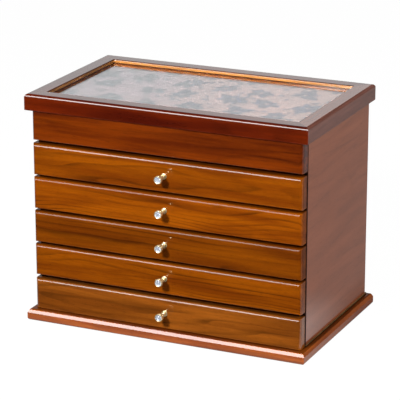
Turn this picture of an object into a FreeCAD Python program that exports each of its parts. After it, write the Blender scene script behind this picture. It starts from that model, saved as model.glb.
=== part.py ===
"""Jewellery box: a lidded tray above five drawers, on a moulded base.

Millimetres, +Z up, the front faces -Y. The origin lies on the surface that the box stands
on, below the middle of the box's outline with its knobs.
"""
import FreeCAD, Part
import math
import operator
import os
from types import SimpleNamespace

import Sketcher

DRAWER_COUNT = 5
RING_ROLL_COUNT = 7
SCREWS_PER_LEAF = 2
STONE_SIDES = 10
TOUCH = 1e-6

SIZES = {
    # Case: the panels, the floor and the back.
    "case_width": 330,
    "case_depth": 202,
    "side_thick": 9,
    "side_edge_round": 1.5,
    "back_thick": 8,
    "back_cover": 4,
    "floor_thick": 2,
    "floor_reach": 1,
    "shelf_thick": 5,
    "dado_depth": 3,
    # Base: a bullnose board on four square felt pads.
    "base_thick": 13.5,
    "base_reach": 7.5,
    "base_slope_height": 4.2,
    "base_slope_depth": 2.2,
    "base_top_round": 2.5,
    "base_bottom_round": 3.5,
    "felt_thick": 1,
    "felt_side": 24,
    "felt_inset": 12,
    # Fronts: five overlay drawer fronts and the fixed top rail.
    "front_height": 36.6,
    "front_thick": 13,
    "front_gap": 3.4,
    "lowest_front_gap": 4.7,
    "rail_gap": 4.3,
    "front_round": 4.5,
    "front_lower_round": 1.5,
    "front_lift": 0.3,
    "front_standoff": 1,
    "rail_height": 34.2,
    # Drawer boxes.
    "box_height": 32,
    "box_wall": 5,
    "box_side_gap": 0.8,
    "box_run_gap": 0.3,
    "box_stop_gap": 0.4,
    "housing_depth": 3,
    "bottom_thick": 3,
    "groove_depth": 2.5,
    "groove_height": 2.5,
    "lining_thick": 1,
    "lining_drop": 2.5,
    # Knobs: a turned brass stem that flares into a cup, with a cut stone set in its face.
    "rosette_radius": 3.5,
    "rosette_thick": 1.3,
    "stem_radius": 1.9,
    "stem_length": 8.6,
    "cup_radius": 4.65,
    "cup_flare": 2.7,
    "cup_wall": 3.8,
    "bezel_radius": 4.15,
    "bezel_depth": 1.2,
    "knob_fit": 0.05,
    "stud_radius": 1.5,
    "stud_length": 9,
    "girdle_height": 1.35,
    "crown_height": 1.85,
    "crown_inset": 1.9,
    "table_inset": 2.4,
    "star_inset": 0.9,
    "star_height": 0.75,
    # Lid: mitred, moulded rails round a glazed fabric panel above a mirror.
    "lid_side_reach": 7,
    "lid_front_reach": 3.5,
    "lid_gap": 0.3,
    "lid_rail_width": 20,
    "lid_lower_lip": 3,
    "lid_land_height": 3.4,
    "lid_land_setback": 2,
    "lid_upper_lip": 4.4,
    "lid_groove_depth": 6,
    "lid_groove_gap": 0.3,
    "lid_outer_round": 3.8,
    "lid_inner_round": 1.5,
    "lid_foot_round": 1,
    "mirror_thick": 2,
    "backing_thick": 2.2,
    "fabric_thick": 1,
    "glass_thick": 3,
    # Hinges: two brass butts let into the back panel and the lid.
    "hinge_spacing": 190,
    "leaf_length": 26,
    "leaf_width": 7,
    "leaf_thick": 0.9,
    "knuckle_radius": 1.9,
    "knuckle_gap": 0.2,
    "barrel_gap": 0.2,
    "pin_radius": 0.95,
    "pin_fit": 0.05,
    "pin_overhang": 0.5,
    "screw_spacing": 15,
    "screw_radius": 0.9,
    "screw_length": 8,
    # Tray under the lid: velvet lining, dividers and ring rolls.
    "tray_lining_drop": 3,
    "divider_thick": 3,
    "divider_height": 20,
    "centre_width": 104,
    "ring_zone_depth": 92,
    "roll_height": 15,
    "roll_gap": 0.5,
    "roll_end_gap": 0.3,
    "roll_land": 1,
}


class Size:
    """A number together with the sheet expression that gives it."""

    def __init__(self, value, text):
        self.value = float(value)
        self.text = text

    def __add__(self, other):
        return joined(self, "+", other)

    def __radd__(self, other):
        return joined(other, "+", self)

    def __sub__(self, other):
        return joined(self, "-", other)

    def __rsub__(self, other):
        return joined(other, "-", self)

    def __mul__(self, other):
        return joined(self, "*", other)

    def __rmul__(self, other):
        return joined(other, "*", self)

    def __truediv__(self, other):
        return joined(self, "/", other)

    def __neg__(self):
        return joined(0, "-", self)


SIGNS = {"+": operator.add, "-": operator.sub, "*": operator.mul, "/": operator.truediv}


def as_size(value):
    """Returns the value as a Size, also where it is a bare number."""
    return value if isinstance(value, Size) else Size(value, repr(value))


def joined(left, sign, right):
    """Returns the Size of two values joined by an arithmetic sign."""
    left, right = as_size(left), as_size(right)
    value = SIGNS[sign](left.value, right.value)
    return Size(value, f"({left.text} {sign} {right.text})")


def make_sheet(doc):
    """Writes the driving sizes to a sheet and returns them as Sizes bound to it."""
    sheet = doc.addObject("Spreadsheet::Sheet", "Sizes")
    for row, (name, value) in enumerate(SIZES.items(), start=1):
        sheet.set(f"A{row}", name)
        sheet.set(f"B{row}", str(value))
        sheet.setAlias(f"B{row}", name)
    doc.recompute()
    return SimpleNamespace(**{name: Size(value, f"Sizes.{name}") for name, value in SIZES.items()})


doc = FreeCAD.newDocument("jewellery_box")
size = make_sheet(doc)
nodes = []

# Heights of the case, from the surface up.
base_low = size.felt_thick
base_top = base_low + size.base_thick
floor_top = base_top + size.floor_thick
fronts_low = base_top + size.front_lift
front_pitch = size.front_height + size.front_gap
extra_gap = size.lowest_front_gap - size.front_gap
stack_height = DRAWER_COUNT * front_pitch + extra_gap
rail_low = fronts_low + stack_height - size.front_gap + size.rail_gap
case_top = rail_low + size.rail_height
tray_floor_top = floor_top + stack_height

# Depths, from the knobs' tips at the front to the base's edge at the back.
cup_rim = size.rosette_thick + size.stem_length + size.cup_flare + size.cup_wall
stone_low = cup_rim - size.bezel_depth + size.knob_fit
knob_reach = stone_low + size.girdle_height + size.crown_height
front_y = (knob_reach - size.case_depth - size.base_reach) / 2
back_y = front_y + size.case_depth
panel_y = front_y + size.front_thick + size.front_standoff
inner_back_y = back_y - size.back_thick

# Widths.
half_width = size.case_width / 2
inner_half = half_width - size.side_thick

# The lid, whose rails' grooves hold the mirror, backing, fabric and glass.
stack_thick = size.mirror_thick + size.backing_thick + size.fabric_thick
land_low = size.lid_lower_lip + stack_thick
glass_low = land_low + size.lid_land_height
lip_low = glass_low + size.glass_thick
lid_thick = lip_low + size.lid_upper_lip
lid_low = case_top + size.lid_gap
lid_half = half_width + size.lid_side_reach
lid_front_y = front_y - size.lid_front_reach

# The hinge line, behind the case and in the middle of the gap under the lid.
barrel_offset = size.knuckle_radius + size.barrel_gap
hinge_y = back_y + barrel_offset
hinge_z = case_top + size.lid_gap / 2
hinge_places = (-size.hinge_spacing / 2, size.hinge_spacing / 2)


def vector(x, y, z):
    """Returns a vector from three sizes."""
    return FreeCAD.Vector(as_size(x).value, as_size(y).value, as_size(z).value)


def bind(thing, **values):
    """Sets properties of an object and binds them to the sheet."""
    for name, value in values.items():
        made = as_size(value)
        setattr(thing, name, made.value)
        thing.setExpression(name, made.text)


def place(thing, x=0, y=0, z=0, turn=None):
    """Puts an object at a place that stays bound to the sheet."""
    thing.Placement = FreeCAD.Placement(vector(x, y, z), turn or FreeCAD.Rotation())
    for axis, value in zip("xyz", (x, y, z)):
        thing.setExpression(f".Placement.Base.{axis}", as_size(value).text)


def turned(axis, degrees):
    """Returns a rotation about a coordinate axis."""
    return FreeCAD.Rotation(FreeCAD.Vector(*axis), degrees)


def new_body(label):
    """Starts a body."""
    body = doc.addObject("PartDesign::Body", label)
    body.Label = label
    return body


def origin_feature(body, role):
    """Returns one of a body's own planes or axes."""
    return next(feature for feature in body.Origin.OriginFeatures if feature.Role == role)


def grown(body, kind, name):
    """Adds a feature to a body and makes it the body's tip."""
    made = body.newObject("PartDesign::" + kind, name)
    body.Tip = made
    return made


def block(body, name, length, width, height, low=(0, 0, 0), cut=False):
    """Adds a rectangular block to a body, or cuts one from it."""
    made = grown(body, "SubtractiveBox" if cut else "AdditiveBox", name)
    bind(made, Length=length, Width=width, Height=height)
    place(made, *low)
    return made


def rod(body, name, radius, height, low=(0, 0, 0), turn=None, cut=False):
    """Adds a cylinder to a body, or cuts one from it."""
    made = grown(body, "SubtractiveCylinder" if cut else "AdditiveCylinder", name)
    bind(made, Radius=radius, Height=height)
    place(made, *low, turn=turn)
    return made


def rounded(body, name, radius, *tests):
    """Rounds the edges of a body that pass every test."""
    doc.recompute()
    base = body.Tip
    edges = [
        f"Edge{number}"
        for number, edge in enumerate(base.Shape.Edges, start=1)
        if all(test(edge, base.Shape) for test in tests)
    ]
    made = grown(body, "Fillet", name)
    made.Base = (base, edges)
    bind(made, Radius=radius)
    return made


def sloped(body, name, down, inward, *tests):
    """Cuts a slope along the edges of a body that pass every test."""
    doc.recompute()
    base = body.Tip
    edges = [
        f"Edge{number}"
        for number, edge in enumerate(base.Shape.Edges, start=1)
        if all(test(edge, base.Shape) for test in tests)
    ]
    made = grown(body, "Chamfer", name)
    made.Base = (base, edges)
    made.ChamferType = "Two distances"
    bind(made, Size=down, Size2=inward)
    return made


def at(axis, side):
    """Returns a test for edges that lie wholly at one side of a shape: min or max."""

    def test(edge, shape):
        limit = side(getattr(vertex.Point, axis) for vertex in shape.Vertexes)
        return all(abs(getattr(vertex.Point, axis) - limit) < TOUCH for vertex in edge.Vertexes)

    return test


def along(axis):
    """Returns a test for straight edges that run along an axis."""

    def test(edge, shape):
        run = edge.Vertexes[-1].Point - edge.Vertexes[0].Point
        return run.Length > TOUCH and abs(abs(getattr(run, axis)) - run.Length) < TOUCH

    return test


def outline(body, name, plane, points):
    """Draws a closed sketch whose corners are held by their distances from its origin."""
    sketch = body.newObject("Sketcher::SketchObject", name)
    sketch.AttachmentSupport = [(origin_feature(body, plane), "")]
    sketch.MapMode = "FlatFace"
    corners = [(as_size(across), as_size(up)) for across, up in points]
    spots = [FreeCAD.Vector(across.value, up.value, 0) for across, up in corners]
    for spot, after in zip(spots, spots[1:] + spots[:1]):
        sketch.addGeometry(Part.LineSegment(spot, after), False)
    for number, corner in enumerate(corners):
        after = (number + 1) % len(corners)
        sketch.addConstraint(Sketcher.Constraint("Coincident", number, 2, after, 1))
        for kind, distance in zip(("DistanceX", "DistanceY"), corner):
            hold = Sketcher.Constraint(kind, -1, 1, number, 1, distance.value)
            index = sketch.addConstraint(hold)
            sketch.setExpression(f"Constraints[{index}]", distance.text)
    return sketch


def padded(body, name, sketch, length):
    """Pads a sketch by half the length to each side."""
    made = grown(body, "Pad", name)
    made.Profile = sketch
    made.SideType = "Symmetric"
    bind(made, Length=length)
    return made


def pocketed(body, name, sketch):
    """Cuts a sketch right through a body, to both sides of the sketch."""
    made = grown(body, "Pocket", name)
    made.Profile = sketch
    made.Type = "ThroughAll"
    made.SideType = "Symmetric"
    return made


def revolved(body, name, sketch):
    """Turns a sketch round the body's Z axis."""
    made = grown(body, "Revolution", name)
    made.Profile = sketch
    made.ReferenceAxis = (sketch, ["V_Axis"])
    made.Angle = 360
    return made


def spun(body, name, cut, count):
    """Repeats a cut round the body's Z axis."""
    made = grown(body, "PolarPattern", name)
    made.Originals = [cut]
    made.Axis = (origin_feature(body, "Z_Axis"), [""])
    made.Angle = 360
    made.Occurrences = count
    return made


def repeated_up(body, name, cut, count, spacing):
    """Repeats a cut upwards at a steady spacing."""
    made = grown(body, "LinearPattern", name)
    made.Originals = [cut]
    made.Direction = (origin_feature(body, "Z_Axis"), [""])
    made.Occurrences = count
    bind(made, Length=spacing * (count - 1))
    return made


def group(label, members):
    """Keeps several like pieces as one sub-part."""
    made = doc.addObject("Part::Compound", label)
    made.Label = label
    made.Links = members
    nodes.append(made)


def board(label, length, width, height, x, y, z):
    """Returns a plain rectangular board with its low corner at a place."""
    body = new_body(label)
    block(body, "Board", length, width, height)
    place(body, x, y, z)
    return body


def velvet_lining(label, length, width, height, x, y, z):
    """Returns a velvet lining: a thin open-topped box."""
    body = new_body(label)
    wall = size.lining_thick
    block(body, "Outside", length, width, height)
    block(body, "Inside", length - 2 * wall, width - 2 * wall, height, (wall, wall, wall), cut=True)
    place(body, x, y, z)
    return body


def base_board():
    """The board that the case stands on; its top slopes to a soft brow."""
    body = new_body("base_board")
    width = size.case_width + 2 * size.base_reach
    depth = size.case_depth + 2 * size.base_reach
    block(body, "Board", width, depth, size.base_thick)
    sloped(body, "Weathering", size.base_slope_height, size.base_slope_depth, at("z", max))
    rounded(body, "Brow", size.base_top_round, at("z", max))
    rounded(body, "Foot", size.base_bottom_round, at("z", min))
    place(body, -width / 2, front_y - size.base_reach, base_low)
    return body


def felt_pads():
    """Returns the four felt pads under the base's corners."""
    side = size.felt_side
    low_x = size.felt_inset - half_width - size.base_reach
    low_y = front_y - size.base_reach + size.felt_inset
    high_y = back_y + size.base_reach - size.felt_inset - side
    return [
        board("felt_pad", side, side, size.felt_thick, x, y, 0)
        for x in (low_x, -low_x - side)
        for y in (low_y, high_y)
    ]


def floor_board():
    """The thin board between the base and the side panels, which shows as a fine step."""
    width = size.case_width + 2 * size.floor_reach
    depth = size.case_depth - size.front_thick - size.front_standoff + size.floor_reach
    return board("floor_board", width, depth, size.floor_thick, -width / 2, panel_y, base_top)


def side_panel(label, hand):
    """One side panel, housed for the shelves and rebated for the back; hand is 1 on the right.

    Its local origin is on the inner face, at the front edge's foot.
    """
    body = new_body(label)
    depth = back_y - panel_y
    height = case_top - floor_top
    rebate = size.side_thick - size.back_cover
    outer_x = 0 if hand > 0 else -size.side_thick
    rebate_x = 0 if hand > 0 else -rebate
    dado_x = 0 if hand > 0 else -size.dado_depth
    shelf_depth = depth - size.back_thick
    block(body, "Panel", size.side_thick, depth, height, (outer_x, 0, 0))
    rebate_low = (rebate_x, shelf_depth, 0)
    block(body, "Rebate", rebate, size.back_thick, height, rebate_low, cut=True)
    dado_low = (dado_x, 0, extra_gap + front_pitch - size.shelf_thick)
    dado = block(body, "Dado", size.dado_depth, shelf_depth, size.shelf_thick, dado_low, cut=True)
    repeated_up(body, "Dados", dado, DRAWER_COUNT, front_pitch)
    outer_side = max if hand > 0 else min
    rounded(body, "Edges", size.side_edge_round, along("z"), at("x", outer_side))
    place(body, hand * inner_half, panel_y, floor_top)
    return body


def back_panel():
    """The back, let into the sides' rebates and cut for the hinge leaves and their screws."""
    body = new_body("back_panel")
    width = size.case_width - 2 * size.back_cover
    height = case_top - floor_top
    leaf_low = height - size.leaf_thick
    screw_y = size.back_thick - size.leaf_width / 2
    block(body, "Panel", width, size.back_thick, height, (-width / 2, 0, 0))
    for hinge_x in hinge_places:
        leaf_x = hinge_x - size.leaf_length / 2
        low = (leaf_x, size.back_thick - size.leaf_width, leaf_low)
        block(body, "Mortise", size.leaf_length, size.leaf_width, size.leaf_thick, low, cut=True)
        for screw_x in screw_places(hinge_x):
            low = (screw_x, screw_y, leaf_low - size.screw_length)
            rod(body, "Pilot", size.screw_radius, size.screw_length, low, cut=True)
    place(body, 0, inner_back_y, floor_top)
    return body


def screw_places(hinge_x):
    """Returns the screws' places along the case for a hinge."""
    first = hinge_x - size.screw_spacing * (SCREWS_PER_LEAF - 1) / 2
    return [first + size.screw_spacing * number for number in range(SCREWS_PER_LEAF)]


def top_rail():
    """The fixed rail across the front of the tray, rounded like the drawer fronts."""
    body = new_body("rail")
    thick = size.front_thick + size.front_standoff
    block(body, "Rail", size.case_width, thick, size.rail_height)
    rounded(body, "LowerArris", size.front_lower_round, at("y", min), at("z", min))
    rail = with_moulded_ends("top_rail", body, thick, size.rail_height)
    place(rail, -half_width, front_y, rail_low)
    return rail


def with_moulded_ends(label, body, thick, height):
    """Rounds a full-width piece's front upright edges, which meet its other rounds at mitres."""
    plan = new_body("ends")
    block(plan, "Block", size.case_width, thick, height)
    rounded(plan, "Ends", size.front_round, along("z"), at("y", min))
    made = doc.addObject("Part::Common", label)
    made.Label = label
    made.Base = body
    made.Tool = plan
    return made


def shelf_boards():
    """Returns the boards between the drawers, and last the tray's floor, from the bottom up."""
    width = 2 * (inner_half + size.dado_depth)
    depth = inner_back_y - panel_y
    boards = []
    for number in range(1, DRAWER_COUNT + 1):
        label = "tray_floor" if number == DRAWER_COUNT else "shelf"
        low = floor_top + extra_gap + number * front_pitch - size.shelf_thick
        boards.append(board(label, width, depth, size.shelf_thick, -width / 2, panel_y, low))
    return boards


def tray_parts():
    """Returns the tray's lining, its dividers and its ring rolls."""
    length = 2 * inner_half
    depth = inner_back_y - panel_y
    height = case_top - tray_floor_top - size.tray_lining_drop
    lining = velvet_lining("tray_lining", length, depth, height, -inner_half, panel_y, tray_floor_top)
    floor = tray_floor_top + size.lining_thick
    low_y = panel_y + size.lining_thick
    high_y = inner_back_y - size.lining_thick
    thick, tall = size.divider_thick, size.divider_height
    centre = size.centre_width / 2
    wing = inner_half - size.lining_thick - centre - thick / 2
    middle_y = (low_y + high_y - thick) / 2
    ring_y = low_y + size.ring_zone_depth
    dividers = [
        board("divider", thick, high_y - low_y, tall, -centre - thick / 2, low_y, floor),
        board("divider", thick, high_y - low_y, tall, centre - thick / 2, low_y, floor),
        board("divider", wing, thick, tall, -centre - thick / 2 - wing, middle_y, floor),
        board("divider", wing, thick, tall, centre + thick / 2, middle_y, floor),
        board("divider", 2 * centre - thick, thick, tall, thick / 2 - centre, ring_y, floor),
    ]
    roll_pitch = size.ring_zone_depth / RING_ROLL_COUNT
    roll_depth = roll_pitch - size.roll_gap
    roll_length = 2 * centre - thick - 2 * size.roll_end_gap
    rolls = []
    for number in range(RING_ROLL_COUNT):
        roll = new_body("ring_roll")
        block(roll, "Roll", roll_length, roll_depth, size.roll_height)
        crown = (roll_depth - size.roll_land) / 2
        rounded(roll, "Crown", crown, along("x"), at("z", max))
        low = low_y + roll_pitch * number + size.roll_gap / 2
        place(roll, -roll_length / 2, low, floor + size.box_run_gap)
        rolls.append(roll)
    return lining, dividers, rolls


def drawer_front(number, low_z):
    """An overlay front, housed at the back for the box and drilled for the knob's stud."""
    body = new_body("front")
    width, height, thick = size.case_width, size.front_height, size.front_thick
    block(body, "Front", width, thick, height)
    rounded(body, "TopRound", size.front_round, at("y", min), at("z", max))
    rounded(body, "LowerArris", size.front_lower_round, at("y", min), at("z", min))
    box_low = floor_top - fronts_low + size.box_run_gap
    box_x = size.side_thick + size.box_side_gap
    housing_y = thick - size.housing_depth
    for x in (box_x, width - box_x - size.box_wall):
        low = (x, housing_y, box_low)
        block(body, "Housing", size.box_wall, size.housing_depth, size.box_height, low, cut=True)
    groove_x = box_x + size.box_wall - size.groove_depth
    low = (groove_x, housing_y, box_low + size.groove_height)
    groove_length = width - 2 * groove_x
    block(body, "Groove", groove_length, size.housing_depth, size.bottom_thick, low, cut=True)
    backward = turned((1, 0, 0), -90)
    centre = (width / 2, 0, height / 2)
    depth = size.stud_length + size.knob_fit
    rod(body, "Pilot", size.stud_radius + size.knob_fit, depth, centre, backward, cut=True)
    front = with_moulded_ends(f"drawer_{number}_front", body, thick, height)
    place(front, -half_width, front_y, low_z)
    return front


def drawer_box(number, box_low):
    """Keeps a drawer's sides, back, bottom and velvet lining."""
    outer_x = inner_half - size.box_side_gap
    inner_x = outer_x - size.box_wall
    start_y = front_y + size.front_thick - size.housing_depth
    end_y = inner_back_y - size.box_stop_gap
    bottom_low = box_low + size.groove_height
    bottom_top = bottom_low + size.bottom_thick
    sides = []
    for hand in (-1, 1):
        side = new_body("drawer_side")
        groove_x = 0 if hand > 0 else size.box_wall - size.groove_depth
        block(side, "Side", size.box_wall, end_y - start_y, size.box_height)
        low = (groove_x, 0, size.groove_height)
        block(side, "Groove", size.groove_depth, end_y - start_y, size.bottom_thick, low, cut=True)
        place(side, inner_x if hand > 0 else -outer_x, start_y, box_low)
        sides.append(side)
    group(f"drawer_{number}_sides", sides)
    back_y_low = end_y - size.box_wall
    back_height = box_low + size.box_height - bottom_top
    back_low = (-inner_x, back_y_low, bottom_top)
    label = f"drawer_{number}_back"
    nodes.append(board(label, 2 * inner_x, size.box_wall, back_height, *back_low))
    bottom_x = inner_x + size.groove_depth
    bottom_size = (2 * bottom_x, end_y - start_y, size.bottom_thick)
    label = f"drawer_{number}_bottom"
    nodes.append(board(label, *bottom_size, -bottom_x, start_y, bottom_low))
    inside_y = front_y + size.front_thick
    lining_size = (2 * inner_x, back_y_low - inside_y, back_height - size.lining_drop)
    label = f"drawer_{number}_lining"
    nodes.append(velvet_lining(label, *lining_size, -inner_x, inside_y, bottom_top))


def brass_knob(label):
    """The turned brass knob: stud, rosette, stem and the cup whose face is sunk for the stone."""
    body = new_body(label)
    stem_top = size.rosette_thick + size.stem_length
    flare_top = stem_top + size.cup_flare
    seat = cup_rim - size.bezel_depth
    profile = outline(body, "Profile", "XZ_Plane", [
        (0, -size.stud_length),
        (size.stud_radius, -size.stud_length),
        (size.stud_radius, 0),
        (size.rosette_radius, 0),
        (size.rosette_radius, size.rosette_thick),
        (size.stem_radius, size.rosette_thick),
        (size.stem_radius, stem_top),
        (size.cup_radius, flare_top),
        (size.cup_radius, cup_rim),
        (size.bezel_radius, cup_rim),
        (size.bezel_radius, seat),
        (0, seat),
    ])
    revolved(body, "Turned", profile)
    return body


def cut_stone(label):
    """The stone in the knob's face: crown facets and, half a facet on, stars round the table.

    Its local origin is in the middle of its back face. Its corners just clear the cup's wall.
    """
    body = new_body(label)
    corner = size.bezel_radius - size.knob_fit
    flat = corner * math.cos(math.pi / STONE_SIDES)
    table = size.girdle_height + size.crown_height
    rod(body, "Blank", corner, table)
    outside = corner * 2
    facet = outline(body, "Facet", "XZ_Plane", [
        (flat, 0),
        (flat, size.girdle_height),
        (flat - size.crown_inset, table),
        (outside, table),
        (outside, 0),
    ])
    spun(body, "Facets", pocketed(body, "FacetCut", facet), STONE_SIDES)
    star_low = table - size.star_height
    star = outline(body, "Star", "XZ_Plane", [
        (flat - size.table_inset, table),
        (flat - size.star_inset, star_low),
        (outside, star_low),
        (outside, table),
    ])
    star.AttachmentOffset = FreeCAD.Placement(
        FreeCAD.Vector(), FreeCAD.Rotation(FreeCAD.Vector(0, 1, 0), 180 / STONE_SIDES)
    )
    spun(body, "Stars", pocketed(body, "StarCut", star), STONE_SIDES)
    return body


def drawer(number):
    """Keeps every piece of one drawer; number 1 is the highest."""
    lift = 0
    if number < DRAWER_COUNT:
        lift = front_pitch * (DRAWER_COUNT - number) + extra_gap
    front_low = fronts_low + lift
    run_low = floor_top + lift
    nodes.append(drawer_front(number, front_low))
    drawer_box(number, run_low + size.box_run_gap)
    knob_z = front_low + size.front_height / 2
    forward = turned((1, 0, 0), 90)
    knob = brass_knob(f"drawer_{number}_knob")
    place(knob, 0, front_y, knob_z, forward)
    stone = cut_stone(f"drawer_{number}_crystal")
    place(stone, 0, front_y - stone_low, knob_z, forward)
    nodes.extend([knob, stone])


def lid_rail(label, length):
    """One moulded, mitred rail of the lid, grooved for the glass and for the panel stack.

    Its local origin is below the middle of its outer face; +Y points into the lid.
    """
    body = new_body(label)
    width = size.lid_rail_width
    groove = width - size.lid_groove_depth
    land = width - size.lid_land_setback
    moulding = outline(body, "Moulding", "YZ_Plane", [
        (0, 0),
        (width, 0),
        (width, size.lid_lower_lip),
        (groove, size.lid_lower_lip),
        (groove, land_low),
        (land, land_low),
        (land, glass_low),
        (groove, glass_low),
        (groove, lip_low),
        (width, lip_low),
        (width, lid_thick),
        (0, lid_thick),
    ])
    padded(body, "Rail", moulding, length)
    rounded(body, "OuterArris", size.lid_outer_round, along("x"), at("y", min), at("z", max))
    rounded(body, "InnerArris", size.lid_inner_round, along("x"), at("y", max), at("z", max))
    rounded(body, "FootArris", size.lid_foot_round, along("x"), at("y", min), at("z", min))
    for hand in (-1, 1):
        end = length / 2
        mitre = outline(body, "Mitre", "XY_Plane", [
            (hand * (end + width), -width),
            (hand * (end + width), 2 * width),
            (hand * (end - 2 * width), 2 * width),
        ])
        pocketed(body, "MitreCut", mitre)
    return body


def lid_frame():
    """Keeps the lid's four rails; the back one is cut for the hinge leaves and their screws."""
    depth = back_y - lid_front_y
    middle_y = (back_y + lid_front_y) / 2
    front = lid_rail("lid_rail_front", 2 * lid_half)
    place(front, 0, lid_front_y, lid_low)
    back = lid_rail("lid_rail_back", 2 * lid_half)
    for hinge_x in hinge_places:
        low = (hinge_x - size.leaf_length / 2, 0, 0)
        block(back, "Mortise", size.leaf_length, size.leaf_width, size.leaf_thick, low, cut=True)
        for screw_x in screw_places(hinge_x):
            low = (screw_x, size.leaf_width / 2, size.leaf_thick)
            rod(back, "Pilot", size.screw_radius, size.screw_length, low, cut=True)
    place(back, 0, back_y, lid_low, turned((0, 0, 1), 180))
    left = lid_rail("lid_rail_left", depth)
    place(left, -lid_half, middle_y, lid_low, turned((0, 0, 1), -90))
    right = lid_rail("lid_rail_right", depth)
    place(right, lid_half, middle_y, lid_low, turned((0, 0, 1), 90))
    nodes.extend([front, back, left, right])


def lid_panels():
    """Keeps the mirror, backing and fabric panel of the lower groove, and the upper glass."""
    inset = size.lid_rail_width - size.lid_groove_depth + size.lid_groove_gap
    half = lid_half - inset
    low_y = lid_front_y + inset
    depth = back_y - inset - low_y
    level = lid_low + size.lid_lower_lip
    stack = (
        ("lid_mirror", size.mirror_thick),
        ("lid_backing", size.backing_thick),
        ("lid_fabric", size.fabric_thick),
    )
    for label, thick in stack:
        nodes.append(board(label, 2 * half, depth, thick, -half, low_y, level))
        level = level + thick
    nodes.append(board("lid_glass", 2 * half, depth, size.glass_thick, -half, low_y, lid_low + glass_low))


def hinge_leaf(label, upper):
    """One leaf of a butt hinge; the upper one, on the lid, has the middle knuckle.

    Its local origin is on the hinge line, at the middle of the hinge.
    """
    body = new_body(label)
    length, thick = size.leaf_length, size.leaf_thick
    half_gap = size.lid_gap / 2
    level = half_gap if upper else -half_gap - thick
    knuckle = (length - 2 * size.knuckle_gap) / 3
    plate_low = (-length / 2, -barrel_offset - size.leaf_width, level)
    block(body, "Plate", length, size.leaf_width, thick, plate_low)
    starts = (-knuckle / 2,) if upper else (-length / 2, length / 2 - knuckle)
    lengthways = turned((0, 1, 0), 90)
    for start in starts:
        block(body, "Tab", knuckle, barrel_offset, thick, (start, -barrel_offset, level))
        rod(body, "Knuckle", size.knuckle_radius, knuckle, (start, 0, 0), lengthways)
    bore = size.pin_radius + size.pin_fit
    rod(body, "Bore", bore, length, (-length / 2, 0, 0), lengthways, cut=True)
    for screw_x in screw_places(0):
        low = (screw_x, -barrel_offset - size.leaf_width / 2, level)
        rod(body, "ScrewHole", size.screw_radius, thick, low, cut=True)
    return body


def hinge_screw():
    """A flush screw, here without thread and slot, with its top at the local origin."""
    body = new_body("hinge_screw")
    length = size.leaf_thick + size.screw_length
    rod(body, "Shank", size.screw_radius, length, (0, 0, -length))
    return body


def hinge_pin():
    """The pin through a hinge's knuckles, with its middle at the local origin."""
    body = new_body("hinge_pin")
    length = size.leaf_length + 2 * size.pin_overhang
    rod(body, "Pin", size.pin_radius, length, (-length / 2, 0, 0), turned((0, 1, 0), 90))
    return body


def hinges():
    """Keeps the hinge leaves, pins and screws."""
    lower, upper, pins, lower_screws, upper_screws = [], [], [], [], []
    over = turned((1, 0, 0), 180)
    for hinge_x in hinge_places:
        for members, is_upper in ((lower, False), (upper, True)):
            leaf = hinge_leaf("hinge_leaf", is_upper)
            place(leaf, hinge_x, hinge_y, hinge_z)
            members.append(leaf)
        pin = hinge_pin()
        place(pin, hinge_x, hinge_y, hinge_z)
        pins.append(pin)
        for screw_x in screw_places(hinge_x):
            for members, height, turn in (
                (lower_screws, case_top, None),
                (upper_screws, lid_low, over),
            ):
                screw = hinge_screw()
                place(screw, screw_x, back_y - size.leaf_width / 2, height, turn)
                members.append(screw)
    group("hinge_leaves_case", lower)
    group("hinge_leaves_lid", upper)
    group("hinge_pins", pins)
    group("hinge_screws_case", lower_screws)
    group("hinge_screws_lid", upper_screws)


def build():
    """Makes every sub-part."""
    nodes.append(base_board())
    group("felt_pads", felt_pads())
    nodes.append(floor_board())
    nodes.append(side_panel("side_panel_left", -1))
    nodes.append(side_panel("side_panel_right", 1))
    nodes.append(back_panel())
    nodes.append(top_rail())
    *shelves, tray_floor = shelf_boards()
    group("drawer_shelves", shelves)
    nodes.append(tray_floor)
    lining, dividers, rolls = tray_parts()
    nodes.append(lining)
    group("tray_dividers", dividers)
    group("ring_rolls", rolls)
    lid_frame()
    lid_panels()
    hinges()
    for number in range(1, DRAWER_COUNT + 1):
        drawer(number)


def check_and_export():
    """Stops at a failed feature or a bad shape, and otherwise writes each sub-part's file."""
    doc.recompute()
    failed = [made.Label for made in doc.Objects if {"Invalid", "Error"} & set(made.State)]
    if failed:
        raise RuntimeError(f"failed features: {failed}")
    labels = [node.Label for node in nodes]
    if len(set(labels)) != len(labels):
        raise RuntimeError("two sub-parts share a label")
    os.makedirs("parts", exist_ok=True)
    for node in nodes:
        if node.Shape.isNull() or not node.Shape.isValid():
            raise RuntimeError(f"bad shape: {node.Label}")
        node.Shape.exportStep(f"parts/{node.Label}.step")
    print(len(nodes), "sub-parts written")


build()
check_and_export()
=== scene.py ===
"""Looks of a wooden jewellery box with five drawers, a glazed lid and a lined tray."""

import logging
import math
from dataclasses import dataclass, field, replace
from enum import Enum

import bmesh
import bpy
import numpy as np
from mathutils import Matrix, Vector

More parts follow.
